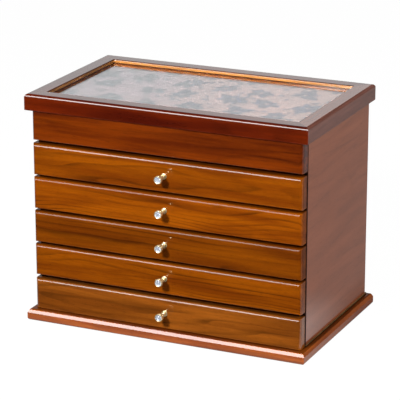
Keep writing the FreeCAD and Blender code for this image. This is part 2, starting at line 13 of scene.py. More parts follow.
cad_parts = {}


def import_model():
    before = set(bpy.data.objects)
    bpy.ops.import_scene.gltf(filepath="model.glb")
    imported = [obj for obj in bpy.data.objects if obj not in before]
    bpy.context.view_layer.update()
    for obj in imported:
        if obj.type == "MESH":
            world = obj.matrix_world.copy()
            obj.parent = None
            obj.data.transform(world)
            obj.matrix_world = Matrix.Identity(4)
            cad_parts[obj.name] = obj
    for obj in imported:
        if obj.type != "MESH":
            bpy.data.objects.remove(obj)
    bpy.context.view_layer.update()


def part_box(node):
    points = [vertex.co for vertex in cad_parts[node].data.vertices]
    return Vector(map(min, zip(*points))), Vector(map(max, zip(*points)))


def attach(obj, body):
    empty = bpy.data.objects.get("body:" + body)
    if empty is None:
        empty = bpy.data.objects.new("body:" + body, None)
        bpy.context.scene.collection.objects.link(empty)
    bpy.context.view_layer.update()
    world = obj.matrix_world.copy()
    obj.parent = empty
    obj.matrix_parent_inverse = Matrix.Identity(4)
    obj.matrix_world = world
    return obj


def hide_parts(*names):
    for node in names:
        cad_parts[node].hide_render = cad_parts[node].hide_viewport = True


Array = np.ndarray
Material = bpy.types.Material
Object = bpy.types.Object
Socket = bpy.types.NodeSocket

log = logging.getLogger("jewellery_box")

MM = 0.001
DRAWER_COUNT = 5
WHITE = (1.0, 1.0, 1.0, 1.0)


class Axis(Enum):
    """The way a board's grain runs."""

    X = 0
    Y = 1
    Z = 2


# Node building


class Graph:
    """A node tree with short calls for the nodes that the finishes use."""

    def __init__(self, tree: bpy.types.NodeTree) -> None:
        """Starts from a tree and keeps what it holds."""
        self.tree = tree

    def add(self, kind: str, **settings: object) -> bpy.types.Node:
        """Adds a node.

        Args:
            kind: The node's type name without its ShaderNode prefix.
            settings: Properties of the node, such as its operation.

        Returns:
            The new node.
        """
        node = self.tree.nodes.new("ShaderNode" + kind)
        for name, value in settings.items():
            setattr(node, name, value)
        return node

    def feed(self, socket: Socket, value: object) -> None:
        """Links a socket to another, or sets its value."""
        if isinstance(value, bpy.types.NodeSocket):
            self.tree.links.new(value, socket)
        elif value is not None:
            socket.default_value = value

    def give(self, node: bpy.types.Node, **values: object) -> None:
        """Feeds a node's inputs by name, with underscores for spaces."""
        for label, value in values.items():
            self.feed(node.inputs[label.replace("_", " ")], value)

    def find(self, kind: str) -> bpy.types.Node:
        """Returns the tree's first node of a kind, named as in add."""
        return next(node for node in self.tree.nodes if node.bl_idname == "ShaderNode" + kind)

    def result(self, kind: str, values: tuple[object, ...], **settings: object) -> Socket:
        """Adds a node, feeds its inputs in order and returns its first output."""
        node = self.add(kind, **settings)
        for socket, value in zip(node.inputs, values):
            self.feed(socket, value)
        return node.outputs[0]

    def math(self, operation: str, *values: object) -> Socket:
        """Returns the output of a math node fed with numbers or sockets."""
        return self.result("Math", values, operation=operation)

    def times(self, first: object, second: object) -> Socket:
        """Returns the product of two numbers or sockets."""
        return self.math("MULTIPLY", first, second)

    def plus(self, first: object, second: object) -> Socket:
        """Returns the sum of two numbers or sockets."""
        return self.math("ADD", first, second)

    def minus(self, first: object, second: object) -> Socket:
        """Returns the first number or socket less the second."""
        return self.math("SUBTRACT", first, second)

    def from_edge(self, place: Socket, low: float, high: float) -> Socket:
        """Returns how far a place lies inside the nearer end of a range."""
        return self.math("MINIMUM", self.minus(place, low), self.minus(high, place))

    def vector(self, operation: str, *values: object) -> Socket:
        """Returns the vector output of a vector math node."""
        return self.result("VectorMath", values, operation=operation)

    def split(self, vector: Socket) -> tuple[Socket, ...]:
        """Returns the three parts of a vector."""
        node = self.add("SeparateXYZ")
        self.feed(node.inputs[0], vector)
        return tuple(node.outputs)

    def join(self, x: object, y: object, z: object) -> Socket:
        """Returns a vector of three numbers or sockets."""
        return self.result("CombineXYZ", (x, y, z))

    def span(self, value: object, low: object, high: object, to_low: object = 0.0,
             to_high: object = 1.0, smooth: bool = False) -> Socket:
        """Maps a value from one range to another, held at both ends."""
        curve = "SMOOTHSTEP" if smooth else "LINEAR"
        return self.result("MapRange", (value, low, high, to_low, to_high), interpolation_type=curve)

    def noise(self, vector: Socket, scale: object, detail: float = 2.0, rough: float = 0.5,
              warp: float = 0.0) -> Socket:
        """Adds a noise texture and returns its value."""
        node = self.add("TexNoise")
        self.give(node, Vector=vector, Scale=scale, Detail=detail, Roughness=rough, Distortion=warp)
        return node.outputs[0]

    def blend(self, share: object, first: object, second: object, mode: str = "MIX") -> Socket:
        """Mixes two colours and returns the result."""
        node = self.add("Mix", data_type="RGBA", blend_type=mode)
        self.feed(node.inputs[0], share)
        for socket, colour in ((node.inputs[6], first), (node.inputs[7], second)):
            self.feed(socket, (*colour, 1.0) if isinstance(colour, tuple) else colour)
        return node.outputs[2]

    def shaded(self, colour: object, shade: Socket) -> Socket:
        """Returns a colour multiplied by a number."""
        return self.blend(1.0, colour, self.join(shade, shade, shade), "MULTIPLY")

    def bump(self, height: Socket, strength: float, depth: float) -> Socket:
        """Adds a bump node; depth is how far white stands above black, in metres."""
        node = self.add("Bump")
        self.give(node, Strength=strength, Distance=depth, Height=height)
        return node.outputs[0]

    def mirrored_ray(self, path: bpy.types.Node) -> Socket:
        """Is 1 for a ray that comes from a mirror or through glass."""
        return self.math("MAXIMUM", path.outputs["Is Glossy Ray"], path.outputs["Is Transmission Ray"])

    def surface(self, share: Socket, first: bpy.types.Node, second: bpy.types.Node) -> None:
        """Makes the material's surface a mix of two shaders."""
        mixed = self.result("MixShader", (share, first.outputs[0], second.outputs[0]))
        self.feed(self.find("OutputMaterial").inputs["Surface"], mixed)


def shader_group(name: str, inputs: dict[str, object], outputs: dict[str, str]) -> tuple[
        bpy.types.NodeTree, Graph, bpy.types.Node, bpy.types.Node]:
    """Starts a shader node group with named sockets.

    Args:
        name: The group's name.
        inputs: Each input's name with its default: a number, or three numbers for a vector.
        outputs: Each output's name with its socket type.

    Returns:
        The tree, its graph, its input node and its output node.
    """
    tree = bpy.data.node_groups.new(name, "ShaderNodeTree")
    for label, default in inputs.items():
        kind = "NodeSocketVector" if isinstance(default, tuple) else "NodeSocketFloat"
        socket = tree.interface.new_socket(name=label, in_out="INPUT", socket_type=kind)
        socket.default_value = default
    for label, kind in outputs.items():
        tree.interface.new_socket(name=label, in_out="OUTPUT", socket_type=kind)
    graph = Graph(tree)
    return tree, graph, tree.nodes.new("NodeGroupInput"), tree.nodes.new("NodeGroupOutput")


class Effects:
    """The node groups that several finishes share, each built once."""

    _made: dict[str, bpy.types.NodeTree] = {}

    @classmethod
    def place(cls, graph: Graph, name: str, **values: object) -> bpy.types.Node:
        """Puts a shared effect in a material.

        Args:
            graph: The material's graph.
            name: The effect's name, which is also its builder's.
            values: Inputs by name, with underscores for spaces.

        Returns:
            The group node.
        """
        if name not in cls._made:
            cls._made[name] = getattr(cls, "_" + name)()
        node = graph.add("Group")
        node.node_tree = cls._made[name]
        graph.give(node, **values)
        return node

    @staticmethod
    def _grain() -> bpy.types.NodeTree:
        """Grain of a flat-sawn board whose length runs along the vector's first part.

        Growth lines are bands of the distance from a pith line that wanders along the board.
        Streaks and pores are noise drawn out along the grain.
        """
        tree, graph, given, result = shader_group(
            "Wood grain",
            {"Vector": (0.0, 0.0, 0.0), "Line spacing": 0.004, "Pith depth": 0.05, "Pith height": 0.0},
            {"Figure": "NodeSocketFloat", "Lines": "NodeSocketFloat", "Streaks": "NodeSocketFloat",
             "Pores": "NodeSocketFloat"},
        )
        along, across, up = graph.split(given.outputs["Vector"])

        def drawn_noise(lengthways: float, crossways: float, **settings: float) -> Socket:
            """Returns noise with so many waves per metre along the grain and across it."""
            point = graph.join(graph.times(along, lengthways), graph.times(across, crossways),
                               graph.times(up, crossways))
            return graph.noise(point, 1.0, **settings)

        wander, ring_end = 0.024, 0.92
        drift = graph.times(graph.minus(drawn_noise(4.0, 20.0), 0.5), wander)
        deep = graph.plus(graph.plus(across, given.outputs["Pith depth"]), drift)
        high = graph.plus(graph.minus(up, given.outputs["Pith height"]), graph.times(drift, 0.8))
        away = graph.math("SQRT", graph.plus(graph.times(deep, deep), graph.times(high, high)))
        ring = graph.math("FRACT", graph.math("DIVIDE", away, given.outputs["Line spacing"]))
        early = graph.span(ring, 0.5, ring_end, smooth=True)
        late = graph.span(ring, ring_end, 1.0, 1.0, 0.0, smooth=True)
        clear = graph.span(drawn_noise(6.0, 110.0), 0.38, 0.66, 0.15, 1.0)
        figure = graph.span(drawn_noise(6.0, 66.0, detail=3.0, rough=0.52, warp=0.4), 0.3, 0.7, smooth=True)
        wide = graph.times(drawn_noise(9.0, 330.0, rough=0.6, warp=0.2), 0.55)
        narrow = graph.times(drawn_noise(75.0, 750.0, detail=3.0, rough=0.6, warp=0.2), 0.45)
        graph.give(result, Figure=figure, Lines=graph.times(graph.times(early, late), clear),
                   Streaks=graph.span(graph.plus(wide, narrow), 0.34, 0.66),
                   Pores=graph.span(drawn_noise(140.0, 2600.0, detail=1.0), 0.62, 0.72))
        return tree

    @staticmethod
    def _arris_wear() -> bpy.types.NodeTree:
        """A mask that is strongest where two faces of a box-like piece meet.

        The second smallest of the distances to the six planes of the piece's box is small only
        near an arris. Noise breaks the mask up.
        """
        tree, graph, given, result = shader_group(
            "Arris wear",
            {"Vector": (0.0, 0.0, 0.0), "Low": (0.0, 0.0, 0.0), "High": (1.0, 1.0, 1.0), "Width": 0.003},
            {"Mask": "NodeSocketFloat"},
        )
        point, low, high = (given.outputs[label] for label in ("Vector", "Low", "High"))
        from_low, from_high = graph.vector("SUBTRACT", point, low), graph.vector("SUBTRACT", high, point)
        near = graph.vector("MINIMUM", from_low, from_high)
        first, second, third = graph.split(near)
        smaller = graph.math("MINIMUM", first, second)
        larger = graph.math("MAXIMUM", first, second)
        middle = graph.math("MAXIMUM", smaller, graph.math("MINIMUM", larger, third))
        worn = graph.span(middle, given.outputs["Width"], 0.0, 0.0, 1.0, smooth=True)
        broken = graph.span(graph.noise(point, 160.0, 3.0, 0.6), 0.35, 0.7)
        graph.give(result, Mask=graph.times(worn, broken))
        return tree

    @staticmethod
    def _lacquer() -> bpy.types.NodeTree:
        """The film of a sprayed lacquer, which hands have thinned in places."""
        tree, graph, given, result = shader_group(
            "Lacquer film", {"Vector": (0.0, 0.0, 0.0), "Coat": 1.0, "Dulling": 0.1},
            {"Weight": "NodeSocketFloat"},
        )
        dulled = graph.span(graph.noise(given.outputs["Vector"], 26.0, 4.0, 0.6), 0.45, 0.75)
        lost = graph.times(dulled, given.outputs["Dulling"])
        kept = graph.minus(1.0, lost)
        graph.give(result, Weight=graph.times(kept, given.outputs["Coat"]))
        return tree

    @staticmethod
    def _weave() -> bpy.types.NodeTree:
        """Plain weave on UV in metres: threads go over and under by turns.

        The height is the greater of two squared sine ridges, each raised where its thread is
        on top, which changes with every thread crossed.
        """
        tree, graph, given, result = shader_group(
            "Weave", {"UV": (0.0, 0.0, 0.0), "Threads per metre": 2200.0},
            {"Height": "NodeSocketFloat", "Over": "NodeSocketFloat"},
        )
        threads = graph.vector("SCALE", given.outputs["UV"], None, None, given.outputs["Threads per metre"])
        across, along, _ = graph.split(threads)
        warp = graph.math("ABSOLUTE", graph.math("SINE", graph.times(across, math.pi)))
        weft = graph.math("ABSOLUTE", graph.math("SINE", graph.times(along, math.pi)))
        turn = graph.plus(graph.math("FLOOR", across), graph.math("FLOOR", along))
        is_over = graph.math("GREATER_THAN", graph.math("FRACT", graph.times(turn, 0.5)), 0.25)
        top = graph.times(warp, graph.math("MULTIPLY_ADD", is_over, 0.6, 0.4))
        under = graph.times(weft, graph.math("MULTIPLY_ADD", is_over, -0.6, 1.0))
        graph.give(result, Height=graph.math("MAXIMUM", top, under), Over=is_over)
        return tree

    @staticmethod
    def _pile() -> bpy.types.NodeTree:
        """The nap of velvet or felt: broad brushed patches and single fibres."""
        tree, graph, given, result = shader_group(
            "Pile", {"Vector": (0.0, 0.0, 0.0), "Fibre scale": 2600.0},
            {"Brushed": "NodeSocketFloat", "Height": "NodeSocketFloat"},
        )
        point = given.outputs["Vector"]
        brushed = graph.span(graph.noise(point, 34.0, 3.0, 0.6, 0.9), 0.35, 0.66, smooth=True)
        fibres = graph.noise(point, given.outputs["Fibre scale"], detail=1.0)
        graph.give(result, Brushed=brushed, Height=fibres)
        return tree

    @staticmethod
    def _tarnish() -> bpy.types.NodeTree:
        """Faint cloudiness and fine turning scratches on a polished metal."""
        tree, graph, given, result = shader_group(
            "Tarnish", {"Vector": (0.0, 0.0, 0.0)},
            {"Cloud": "NodeSocketFloat", "Scratch": "NodeSocketFloat"},
        )
        point = given.outputs["Vector"]
        cloud = graph.span(graph.noise(point, 380.0, 3.0, 0.6), 0.4, 0.75, smooth=True)
        drawn = graph.vector("MULTIPLY", point, (9000.0, 500.0, 9000.0))
        graph.give(result, Cloud=cloud, Scratch=graph.noise(drawn, 1.0, detail=1.0))
        return tree


# Finishes


def start_material(name: str) -> tuple[Material, Graph, bpy.types.Node, Socket]:
    """Starts a material.

    Args:
        name: The material's name.

    Returns:
        The material, its graph, its Principled node and the Object coordinates.
    """
    made = bpy.data.materials.new(name)
    made.use_nodes = True
    graph = Graph(made.node_tree)
    return made, graph, graph.find("BsdfPrincipled"), graph.add("TexCoord").outputs["Object"]


@dataclass(frozen=True)
class PaintedShadeStrip:
    """A strip of a board, measured from one of its faces, where shade is painted: its colour is darker and
    its coat thinner where a shadow falls in a gap or under a ledge.
    """

    axis: Axis
    from_high: bool
    depth: float
    share: float

    def kept(self, graph: Graph, point: Socket, low: Vector, high: Vector) -> Socket:
        """Returns how much of its colour and coat the board keeps at a point under the painted shade, from 0
        to 1.
        """
        place = graph.split(point)[self.axis.value]
        away = (graph.minus(high[self.axis.value], place) if self.from_high
                else graph.minus(place, low[self.axis.value]))
        return graph.span(away, self.depth * 0.7, self.depth, 1.0 - self.share, 1.0)


SEED_SHIFT = (0.731, 0.137, 0.071)


@dataclass(frozen=True)
class WoodFinish:
    """Stained and lacquered hardwood; colours are linear.

    The wall colour, where given, is that of a lid rail's walls towards the opening: a paler stain
    with painted light on the front and back rails and painted shade on the side rails. The shade
    strips are painted shade: parts of the board that are darker and duller than the rest, where
    shadow falls in gaps and under ledges.
    """

    name: str
    light: tuple[float, float, float]
    dark: tuple[float, float, float]
    line_depth: float = 0.3
    streak_depth: float = 0.28
    figure_low: float = 0.0
    line_spacing: float = 0.0045
    coat: float = 1.0
    coat_ior: float = 1.62
    gloss: float = 0.03
    dulling: float = 0.06
    base_gloss: float = 0.5
    specular: float = 0.02
    wear: float = 0.3
    wear_width: float = 2.2 * MM
    pore_depth: float = 0.12 * MM
    tone: float = 1.0
    opening: tuple[float, float, float] | None = None
    shade_strips: tuple[PaintedShadeStrip, ...] = ()

    def material(self, part: str, low: Vector, high: Vector, grain: Axis, seed: float,
                 mitred: bool = False) -> Material:
        """Makes the finish for one board.

        Args:
            part: The board's name.
            low: The board's lowest corner.
            high: The board's highest corner.
            grain: The way its grain runs.
            seed: Shifts the grain, so that each board has its own.
            mitred: Whether the grain turns at the box's mitred corners.

        Returns:
            The material.
        """
        made, graph, shader, point = start_material(f"{self.name}_{part}")
        x, y, z = graph.split(point)
        board = (self._mitred(graph, (x, y, z), low, high) if mitred
                 else graph.join(*{Axis.X: (x, y, z), Axis.Y: (y, x, z), Axis.Z: (z, x, y)}[grain]))
        wood = self._grain(graph, board, (low.z + high.z) / 2, seed)
        pores, streaks = wood.outputs["Pores"], wood.outputs["Streaks"]
        # Painted shade: the shade strips darken the colour and thin the coat in gaps and under ledges.
        kept: Socket | float = 1.0
        for strip in self.shade_strips:
            kept = graph.times(strip.kept(graph, point, low, high), kept)
        shade = graph.times(self._shade(graph, wood), kept)
        figure = graph.span(wood.outputs["Figure"], 0.0, 1.0, self.figure_low, 1.0)
        colour = graph.shaded(graph.blend(figure, self.dark, self.light), shade)
        # The walls towards the lid's opening: a paler stain with painted light and painted shade.
        if self.opening:
            wall = self._wall_with_painted_shade(graph, shade, graph.minus(high.z, z))
            colour = graph.blend(self._opening_share(graph, x, y), colour, wall)
        worn = Effects.place(graph, "arris_wear", Vector=point, Low=tuple(low), High=tuple(high),
                             Width=self.wear_width)
        paler = tuple(min(1.0, part * 1.55 + 0.02) for part in self.light)
        film = Effects.place(graph, "lacquer", Vector=point, Coat=self.coat, Dulling=self.dulling)
        sunk = graph.math("MULTIPLY_ADD", pores, -1.0, graph.times(streaks, 0.4))
        graph.give(
            shader, Base_Color=graph.blend(graph.times(worn.outputs["Mask"], self.wear), colour, paler),
            Coat_Weight=graph.times(film.outputs["Weight"], kept), Coat_Roughness=self.gloss,
            Coat_IOR=self.coat_ior, Roughness=graph.math("MULTIPLY_ADD", pores, 0.2, self.base_gloss),
            Specular_IOR_Level=self.specular, Normal=graph.bump(sunk, 0.35, self.pore_depth))
        return made

    def _grain(self, graph: Graph, board: Socket, middle: float, seed: float) -> bpy.types.Node:
        """Places the grain, with the board's own shift and pith.

        Args:
            graph: The material's graph.
            board: The point, with the grain's direction first.
            middle: The height of the board's middle.
            seed: The board's seed.

        Returns:
            The grain's group node.
        """
        shift = tuple(seed * part for part in SEED_SHIFT)
        pith_depth = 0.03 + 0.05 * (math.sin(seed * 12.9) * 0.5 + 0.5)
        pith_height = middle + 0.02 * math.sin(seed * 7.7)
        return Effects.place(graph, "grain", Vector=graph.vector("ADD", board, shift),
                             Line_spacing=self.line_spacing, Pith_depth=pith_depth - shift[1],
                             Pith_height=pith_height + shift[2])

    def _shade(self, graph: Graph, wood: bpy.types.Node) -> Socket:
        """Returns how much of its colour the wood keeps in its lines, streaks and pores."""
        lined = graph.math("MULTIPLY_ADD", wood.outputs["Lines"], -self.line_depth, 1.0)
        streaked = graph.math("MULTIPLY_ADD", wood.outputs["Streaks"], self.streak_depth,
                              1.0 - self.streak_depth * 0.55)
        pored = graph.math("MULTIPLY_ADD", wood.outputs["Pores"], -0.3, 1.0)
        return graph.times(graph.times(graph.times(lined, streaked), pored), self.tone)

    def _wall_with_painted_shade(self, graph: Graph, shade: Socket, depth: Socket) -> Socket:
        """Returns the colour of an opening's wall, with painted shade along its upper edge and a painted
        shadow above the pane.
        """
        edge = graph.span(depth, 0.5 * MM, 1.3 * MM, 0.22, 1.0)
        foot = graph.span(depth, 3.0 * MM, 4.0 * MM, 1.0, 0.16)
        return graph.shaded(self.opening, graph.times(shade, graph.times(edge, foot)))

    @staticmethod
    def _mitred(graph: Graph, parts: tuple[Socket, ...], low: Vector, high: Vector) -> Socket:
        """Returns the point with its grain along y near the left and right edges, else along x."""
        x, y, z = parts
        side, ends = graph.from_edge(x, low.x, high.x), graph.from_edge(y, low.y, high.y)
        mix = graph.add("Mix", data_type="VECTOR")
        graph.feed(mix.inputs[0], graph.math("LESS_THAN", side, ends))
        graph.feed(mix.inputs[4], graph.join(x, y, z))
        graph.feed(mix.inputs[5], graph.join(y, x, z))
        return mix.outputs[1]

    @staticmethod
    def _opening_share(graph: Graph, x: Socket, y: Socket) -> Socket:
        """Is 1 on a lid rail's wall towards the opening, whose colour is a paler stain with painted light and
        shade.
        """
        low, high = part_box("lid_rail_left")[0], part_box("lid_rail_right")[1]
        width = 19.6 * MM
        side, ends = graph.from_edge(x, low.x, high.x), graph.from_edge(y, low.y, high.y)
        return graph.span(graph.math("MINIMUM", side, ends), width - 0.6 * MM, width)


@dataclass(frozen=True)
class PileFinish:
    """Velvet or felt."""

    name: str
    colour: tuple[float, float, float]
    brushed: tuple[float, float, float]
    sheen: float
    fibre_scale: float = 2600.0
    nap_depth: float = 0.3 * MM

    def material(self) -> Material:
        """Makes the finish, which is the same on every piece."""
        made, graph, shader, point = start_material(self.name)
        pile = Effects.place(graph, "pile", Vector=point, Fibre_scale=self.fibre_scale)
        tint = tuple(min(1.0, part * 3 + 0.12) for part in self.brushed)
        graph.give(
            shader, Base_Color=graph.blend(pile.outputs["Brushed"], self.colour, self.brushed),
            Roughness=0.95, Specular_IOR_Level=0.1, Sheen_Weight=self.sheen, Sheen_Roughness=0.35,
            Sheen_Tint=(*tint, 1.0), Normal=graph.bump(pile.outputs["Height"], 0.6, self.nap_depth))
        return made


@dataclass(frozen=True)
class ClothFinish:
    """Woven cloth on UV in metres, with a figure woven in where the mask attribute says."""

    name: str
    ground: tuple[float, float, float]
    ground_right: tuple[float, float, float]
    figure: tuple[float, float, float]
    figure_left: tuple[float, float, float]
    threads: float = 2000.0
    thread_depth: float = 0.15 * MM
    mask: str = "figure"

    def material(self) -> Material:
        """Makes the finish."""
        made, graph, shader, point = start_material(self.name)
        cloth = Effects.place(graph, "weave", UV=graph.find("TexCoord").outputs["UV"],
                              Threads_per_metre=self.threads)
        patches = graph.noise(point, 14.0, 3.0, 0.6)
        wander = graph.math("MULTIPLY_ADD", patches, 0.22, graph.plus(graph.split(point)[0], -0.11))
        ground = graph.blend(graph.span(wander, -0.15, 0.13, smooth=True), self.ground, self.ground_right)
        figure = graph.blend(graph.span(wander, -0.12, 0.1, smooth=True), self.figure_left, self.figure)
        mask = graph.add("Attribute", attribute_name=self.mask).outputs["Fac"]
        frayed = graph.plus(mask, graph.math("MULTIPLY_ADD", graph.noise(point, 420.0, 2.0), 0.5, -0.25))
        woven = graph.span(frayed, 0.25, 0.75, smooth=True)
        colour = graph.blend(woven, ground, figure)
        thread = graph.math("MULTIPLY_ADD", cloth.outputs["Over"], 0.2, 0.8)
        slubs = graph.noise(graph.vector("MULTIPLY", point, (1.0, 12.0, 1.0)), 200.0)
        shade = graph.times(thread, graph.span(slubs, 0.3, 0.7, 0.86, 1.1))
        height = graph.math("MULTIPLY_ADD", woven, 0.5, cloth.outputs["Height"])
        graph.give(
            shader, Base_Color=graph.shaded(colour, shade), Specular_IOR_Level=0.15,
            Roughness=graph.math("MULTIPLY_ADD", woven, -0.15, 0.8),
            Normal=graph.bump(height, 0.5, self.thread_depth))
        return made


@dataclass(frozen=True)
class MetalFinish:
    """Polished metal under a thin lacquer."""

    name: str
    colour: tuple[float, float, float]
    cloud: tuple[float, float, float]
    roughness: float
    metallic: float = 1.0
    scratch_depth: float = 0.02 * MM

    def material(self) -> Material:
        """Makes the finish."""
        made, graph, shader, point = start_material(self.name)
        film = Effects.place(graph, "tarnish", Vector=point)
        graph.give(
            shader, Base_Color=graph.blend(film.outputs["Cloud"], self.colour, self.cloud),
            Metallic=self.metallic, Normal=graph.bump(film.outputs["Scratch"], 0.08, self.scratch_depth),
            Roughness=graph.math("MULTIPLY_ADD", film.outputs["Cloud"], 0.12, self.roughness))
        return made


@dataclass(frozen=True)
class GlassFinish:
    """Clear glass, which lets light through to what lies behind it."""

    name: str
    tint: tuple[float, float, float]
    bend: float
    smear: float = 0.0

    def material(self) -> Material:
        """Makes the finish."""
        made, graph, shader, point = start_material(self.name)
        smears = graph.span(graph.noise(point, 22.0, 4.0, 0.6, 1.2), 0.5, 0.8, 0.0, self.smear)
        tone = graph.span(graph.noise(point, 12.0, 1.0), 0.3, 0.7, 0.97, 1.0)
        graph.give(shader, Transmission_Weight=1.0, IOR=self.bend, Roughness=smears,
                   Base_Color=graph.shaded(self.tint, tone))
        clear = graph.add("BsdfTransparent")
        graph.give(clear, Color=(*(part * 0.96 for part in self.tint), 1.0))
        graph.surface(graph.add("LightPath").outputs["Is Shadow Ray"], shader, clear)
        return made


# The fronts' shade strips are painted shade on their top faces in the gaps between fronts, and a painted
# shadow line along their rear edges beside the side panels.
FRONT_WOOD = WoodFinish("front_wood", light=(0.36, 0.082, 0.0008), dark=(0.21, 0.04, 0.0005), line_depth=0.5,
                        streak_depth=0.26, line_spacing=0.0034, coat=0.75,
                        shade_strips=(PaintedShadeStrip(Axis.Z, True, 0.6 * MM, 0.45),
                                PaintedShadeStrip(Axis.Y, True, 1.6 * MM, 0.9)))
BROWN_WOOD = replace(FRONT_WOOD, light=(0.36, 0.098, 0.008), dark=(0.2, 0.05, 0.004))
RAIL_WOOD = WoodFinish("rail_wood", light=(0.23, 0.036, 0.0008), dark=(0.1, 0.012, 0.0005), line_depth=0.4,
                       streak_depth=0.25)
# The case's shade strip is a painted shadow line along the side panels' front edges, beside the fronts.
CASE_WOOD = WoodFinish("case_wood", light=(0.35, 0.098, 0.038), dark=(0.3, 0.082, 0.031), line_depth=0.12,
                       streak_depth=0.1, wear=0.12, shade_strips=(PaintedShadeStrip(Axis.Y, False, 2.6 * MM, 0.95),))
# The lid rails' walls towards the opening are a paler stain with painted light on the front and back rails
# and painted shade on the side rails.
LID_WOOD = WoodFinish("lid_wood", light=(0.125, 0.012, 0.0006), dark=(0.06, 0.004, 0.0004), line_depth=0.3,
                      opening=(0.6, 0.24, 0.06))
SIDE_RAIL_WOOD = replace(LID_WOOD, opening=(0.3, 0.12, 0.03))
LID_FINISHES = {
    "lid_rail_front": LID_WOOD, "lid_rail_back": LID_WOOD, "lid_rail_left": SIDE_RAIL_WOOD,
    # The right rail's paler colours are painted light and reflection on the lid's lit right side.
    "lid_rail_right": replace(SIDE_RAIL_WOOD, light=(0.22, 0.075, 0.05), dark=(0.16, 0.05, 0.03)),
}
# The base's shade strip is painted shade on its top ledge, under the case and the bottom drawer.
BASE_WOOD = WoodFinish("base_wood", light=(0.46, 0.105, 0.007), dark=(0.27, 0.048, 0.003), line_depth=0.25,
                       coat=0.85, shade_strips=(PaintedShadeStrip(Axis.Z, True, 0.6 * MM, 0.6),))
PLAIN_WOOD = WoodFinish("plain_wood", light=(0.55, 0.38, 0.22), dark=(0.42, 0.27, 0.14), line_depth=0.2,
                        streak_depth=0.2, coat=0.0, gloss=0.4, base_gloss=0.6, specular=0.3, wear=0.1)
# The floor board's shade strip is a painted shadow line along its bottom, over the base.
EDGE_WOOD = WoodFinish("edge_wood", light=(0.24, 0.13, 0.05), dark=(0.14, 0.07, 0.025), line_depth=0.2,
                       streak_depth=0.2, coat=0.3, gloss=0.2, wear=0.1,
                       shade_strips=(PaintedShadeStrip(Axis.Z, False, 1.2 * MM, 0.95),))
VELVET = PileFinish("velvet", (0.075, 0.006, 0.012), (0.14, 0.014, 0.024), 0.6)
FELT = PileFinish("felt", (0.02, 0.05, 0.03), (0.035, 0.08, 0.05), 0.3, 1500.0)
PANEL_CLOTH = ClothFinish("panel_cloth", ground=(0.17, 0.125, 0.15), ground_right=(0.28, 0.155, 0.135),
                          figure=(0.012, 0.014, 0.045), figure_left=(0.006, 0.025, 0.035))
BRASS = MetalFinish("brass", (0.86, 0.71, 0.4), (0.6, 0.46, 0.2), 0.18, 0.7)
FOIL = MetalFinish("foil", (0.66, 0.69, 0.76), (0.42, 0.45, 0.54), 0.12, 0.6)
SILVERING = MetalFinish("silvering", (0.9, 0.92, 0.92), (0.88, 0.9, 0.9), 0.015)
PANE = GlassFinish("pane", (0.97, 0.985, 0.98), 1.46, 0.02)
STONE = GlassFinish("stone", (0.97, 0.98, 1.0), 1.6)


# Surfaces


def grid_quads(rows: int, columns: int) -> Array:
    """Returns the corner numbers of the quads between a grid's points, which lie row by row."""
    row, column = np.meshgrid(np.arange(rows - 1), np.arange(columns - 1), indexing="ij")
    first = row * columns + column
    return np.stack([first, first + 1, first + columns + 1, first + columns], axis=-1).reshape(-1, 4)


@dataclass
class Skin:
    """Collects surfaces worked out on grids and makes one closed mesh of them."""

    points: list[Array] = field(default_factory=list)
    quads: list[Array] = field(default_factory=list)
    uvs: list[Array] = field(default_factory=list)
    slots: list[Array] = field(default_factory=list)
    count: int = 0

    def add(self, surface: Array, uv: Array | None = None, slot: int = 0) -> None:
        """Adds a surface.

        Args:
            surface: Points as rows by columns by 3.
            uv: UV in metres as rows by columns by 2; the surface's x and y without it.
            slot: The number of the surface's material.
        """
        rows, columns, _ = surface.shape
        quads = grid_quads(rows, columns)
        self.points.append(surface.reshape(-1, 3))
        self.uvs.append((surface[..., :2] if uv is None else uv).reshape(-1, 2))
        self.quads.append(quads + self.count)
        self.slots.append(np.full(len(quads), slot, np.int32))
        self.count += rows * columns

    def build(self, name: str, materials: list[Material], smooth: bool = True,
              closed: bool = True) -> Object:
        """Makes the object, at the origin, with its seams and poles merged.

        Args:
            name: The piece's name.
            materials: The materials, in the order of the slots.
            smooth: Whether its faces are shaded smooth.
            closed: Whether its faces are turned to point outwards.

        Returns:
            The object, linked to the scene.
        """
        mesh = bpy.data.meshes.new(name)
        quads = np.concatenate(self.quads)
        mesh.from_pydata(np.concatenate(self.points), [], quads)
        layer = mesh.uv_layers.new(name="metres")
        corners = np.concatenate(self.uvs)[quads.reshape(-1)]
        layer.data.foreach_set("uv", corners.astype(np.float32).ravel())
        mesh.polygons.foreach_set("material_index", np.concatenate(self.slots))
        mesh.polygons.foreach_set("use_smooth", np.full(len(quads), smooth))
        worked = bmesh.new()
        worked.from_mesh(mesh)
        bmesh.ops.remove_doubles(worked, verts=worked.verts, dist=1e-6)
        bmesh.ops.dissolve_degenerate(worked, edges=worked.edges, dist=1e-7)
        if closed:
            bmesh.ops.recalc_face_normals(worked, faces=worked.faces)
        worked.to_mesh(mesh)
        worked.free()
        for material in materials:
            mesh.materials.append(material)
        mesh.update()
        made = bpy.data.objects.new(name, mesh)
        bpy.context.scene.collection.objects.link(made)
        return made


def lathe(profile: Array, segments: int) -> Array:
    """Turns a profile of (radius, height) points about Z and returns the surface.

    Each point is (r cos a, r sin a, h), with the angle a from 0 to a full turn.
    """
    angle = np.linspace(0.0, 2 * math.pi, segments + 1)
    radius, height = profile[:, :1], profile[:, 1:]
    flat = np.broadcast_to(height, (len(profile), segments + 1))
    return np.stack([radius * np.cos(angle), radius * np.sin(angle), flat], axis=-1)


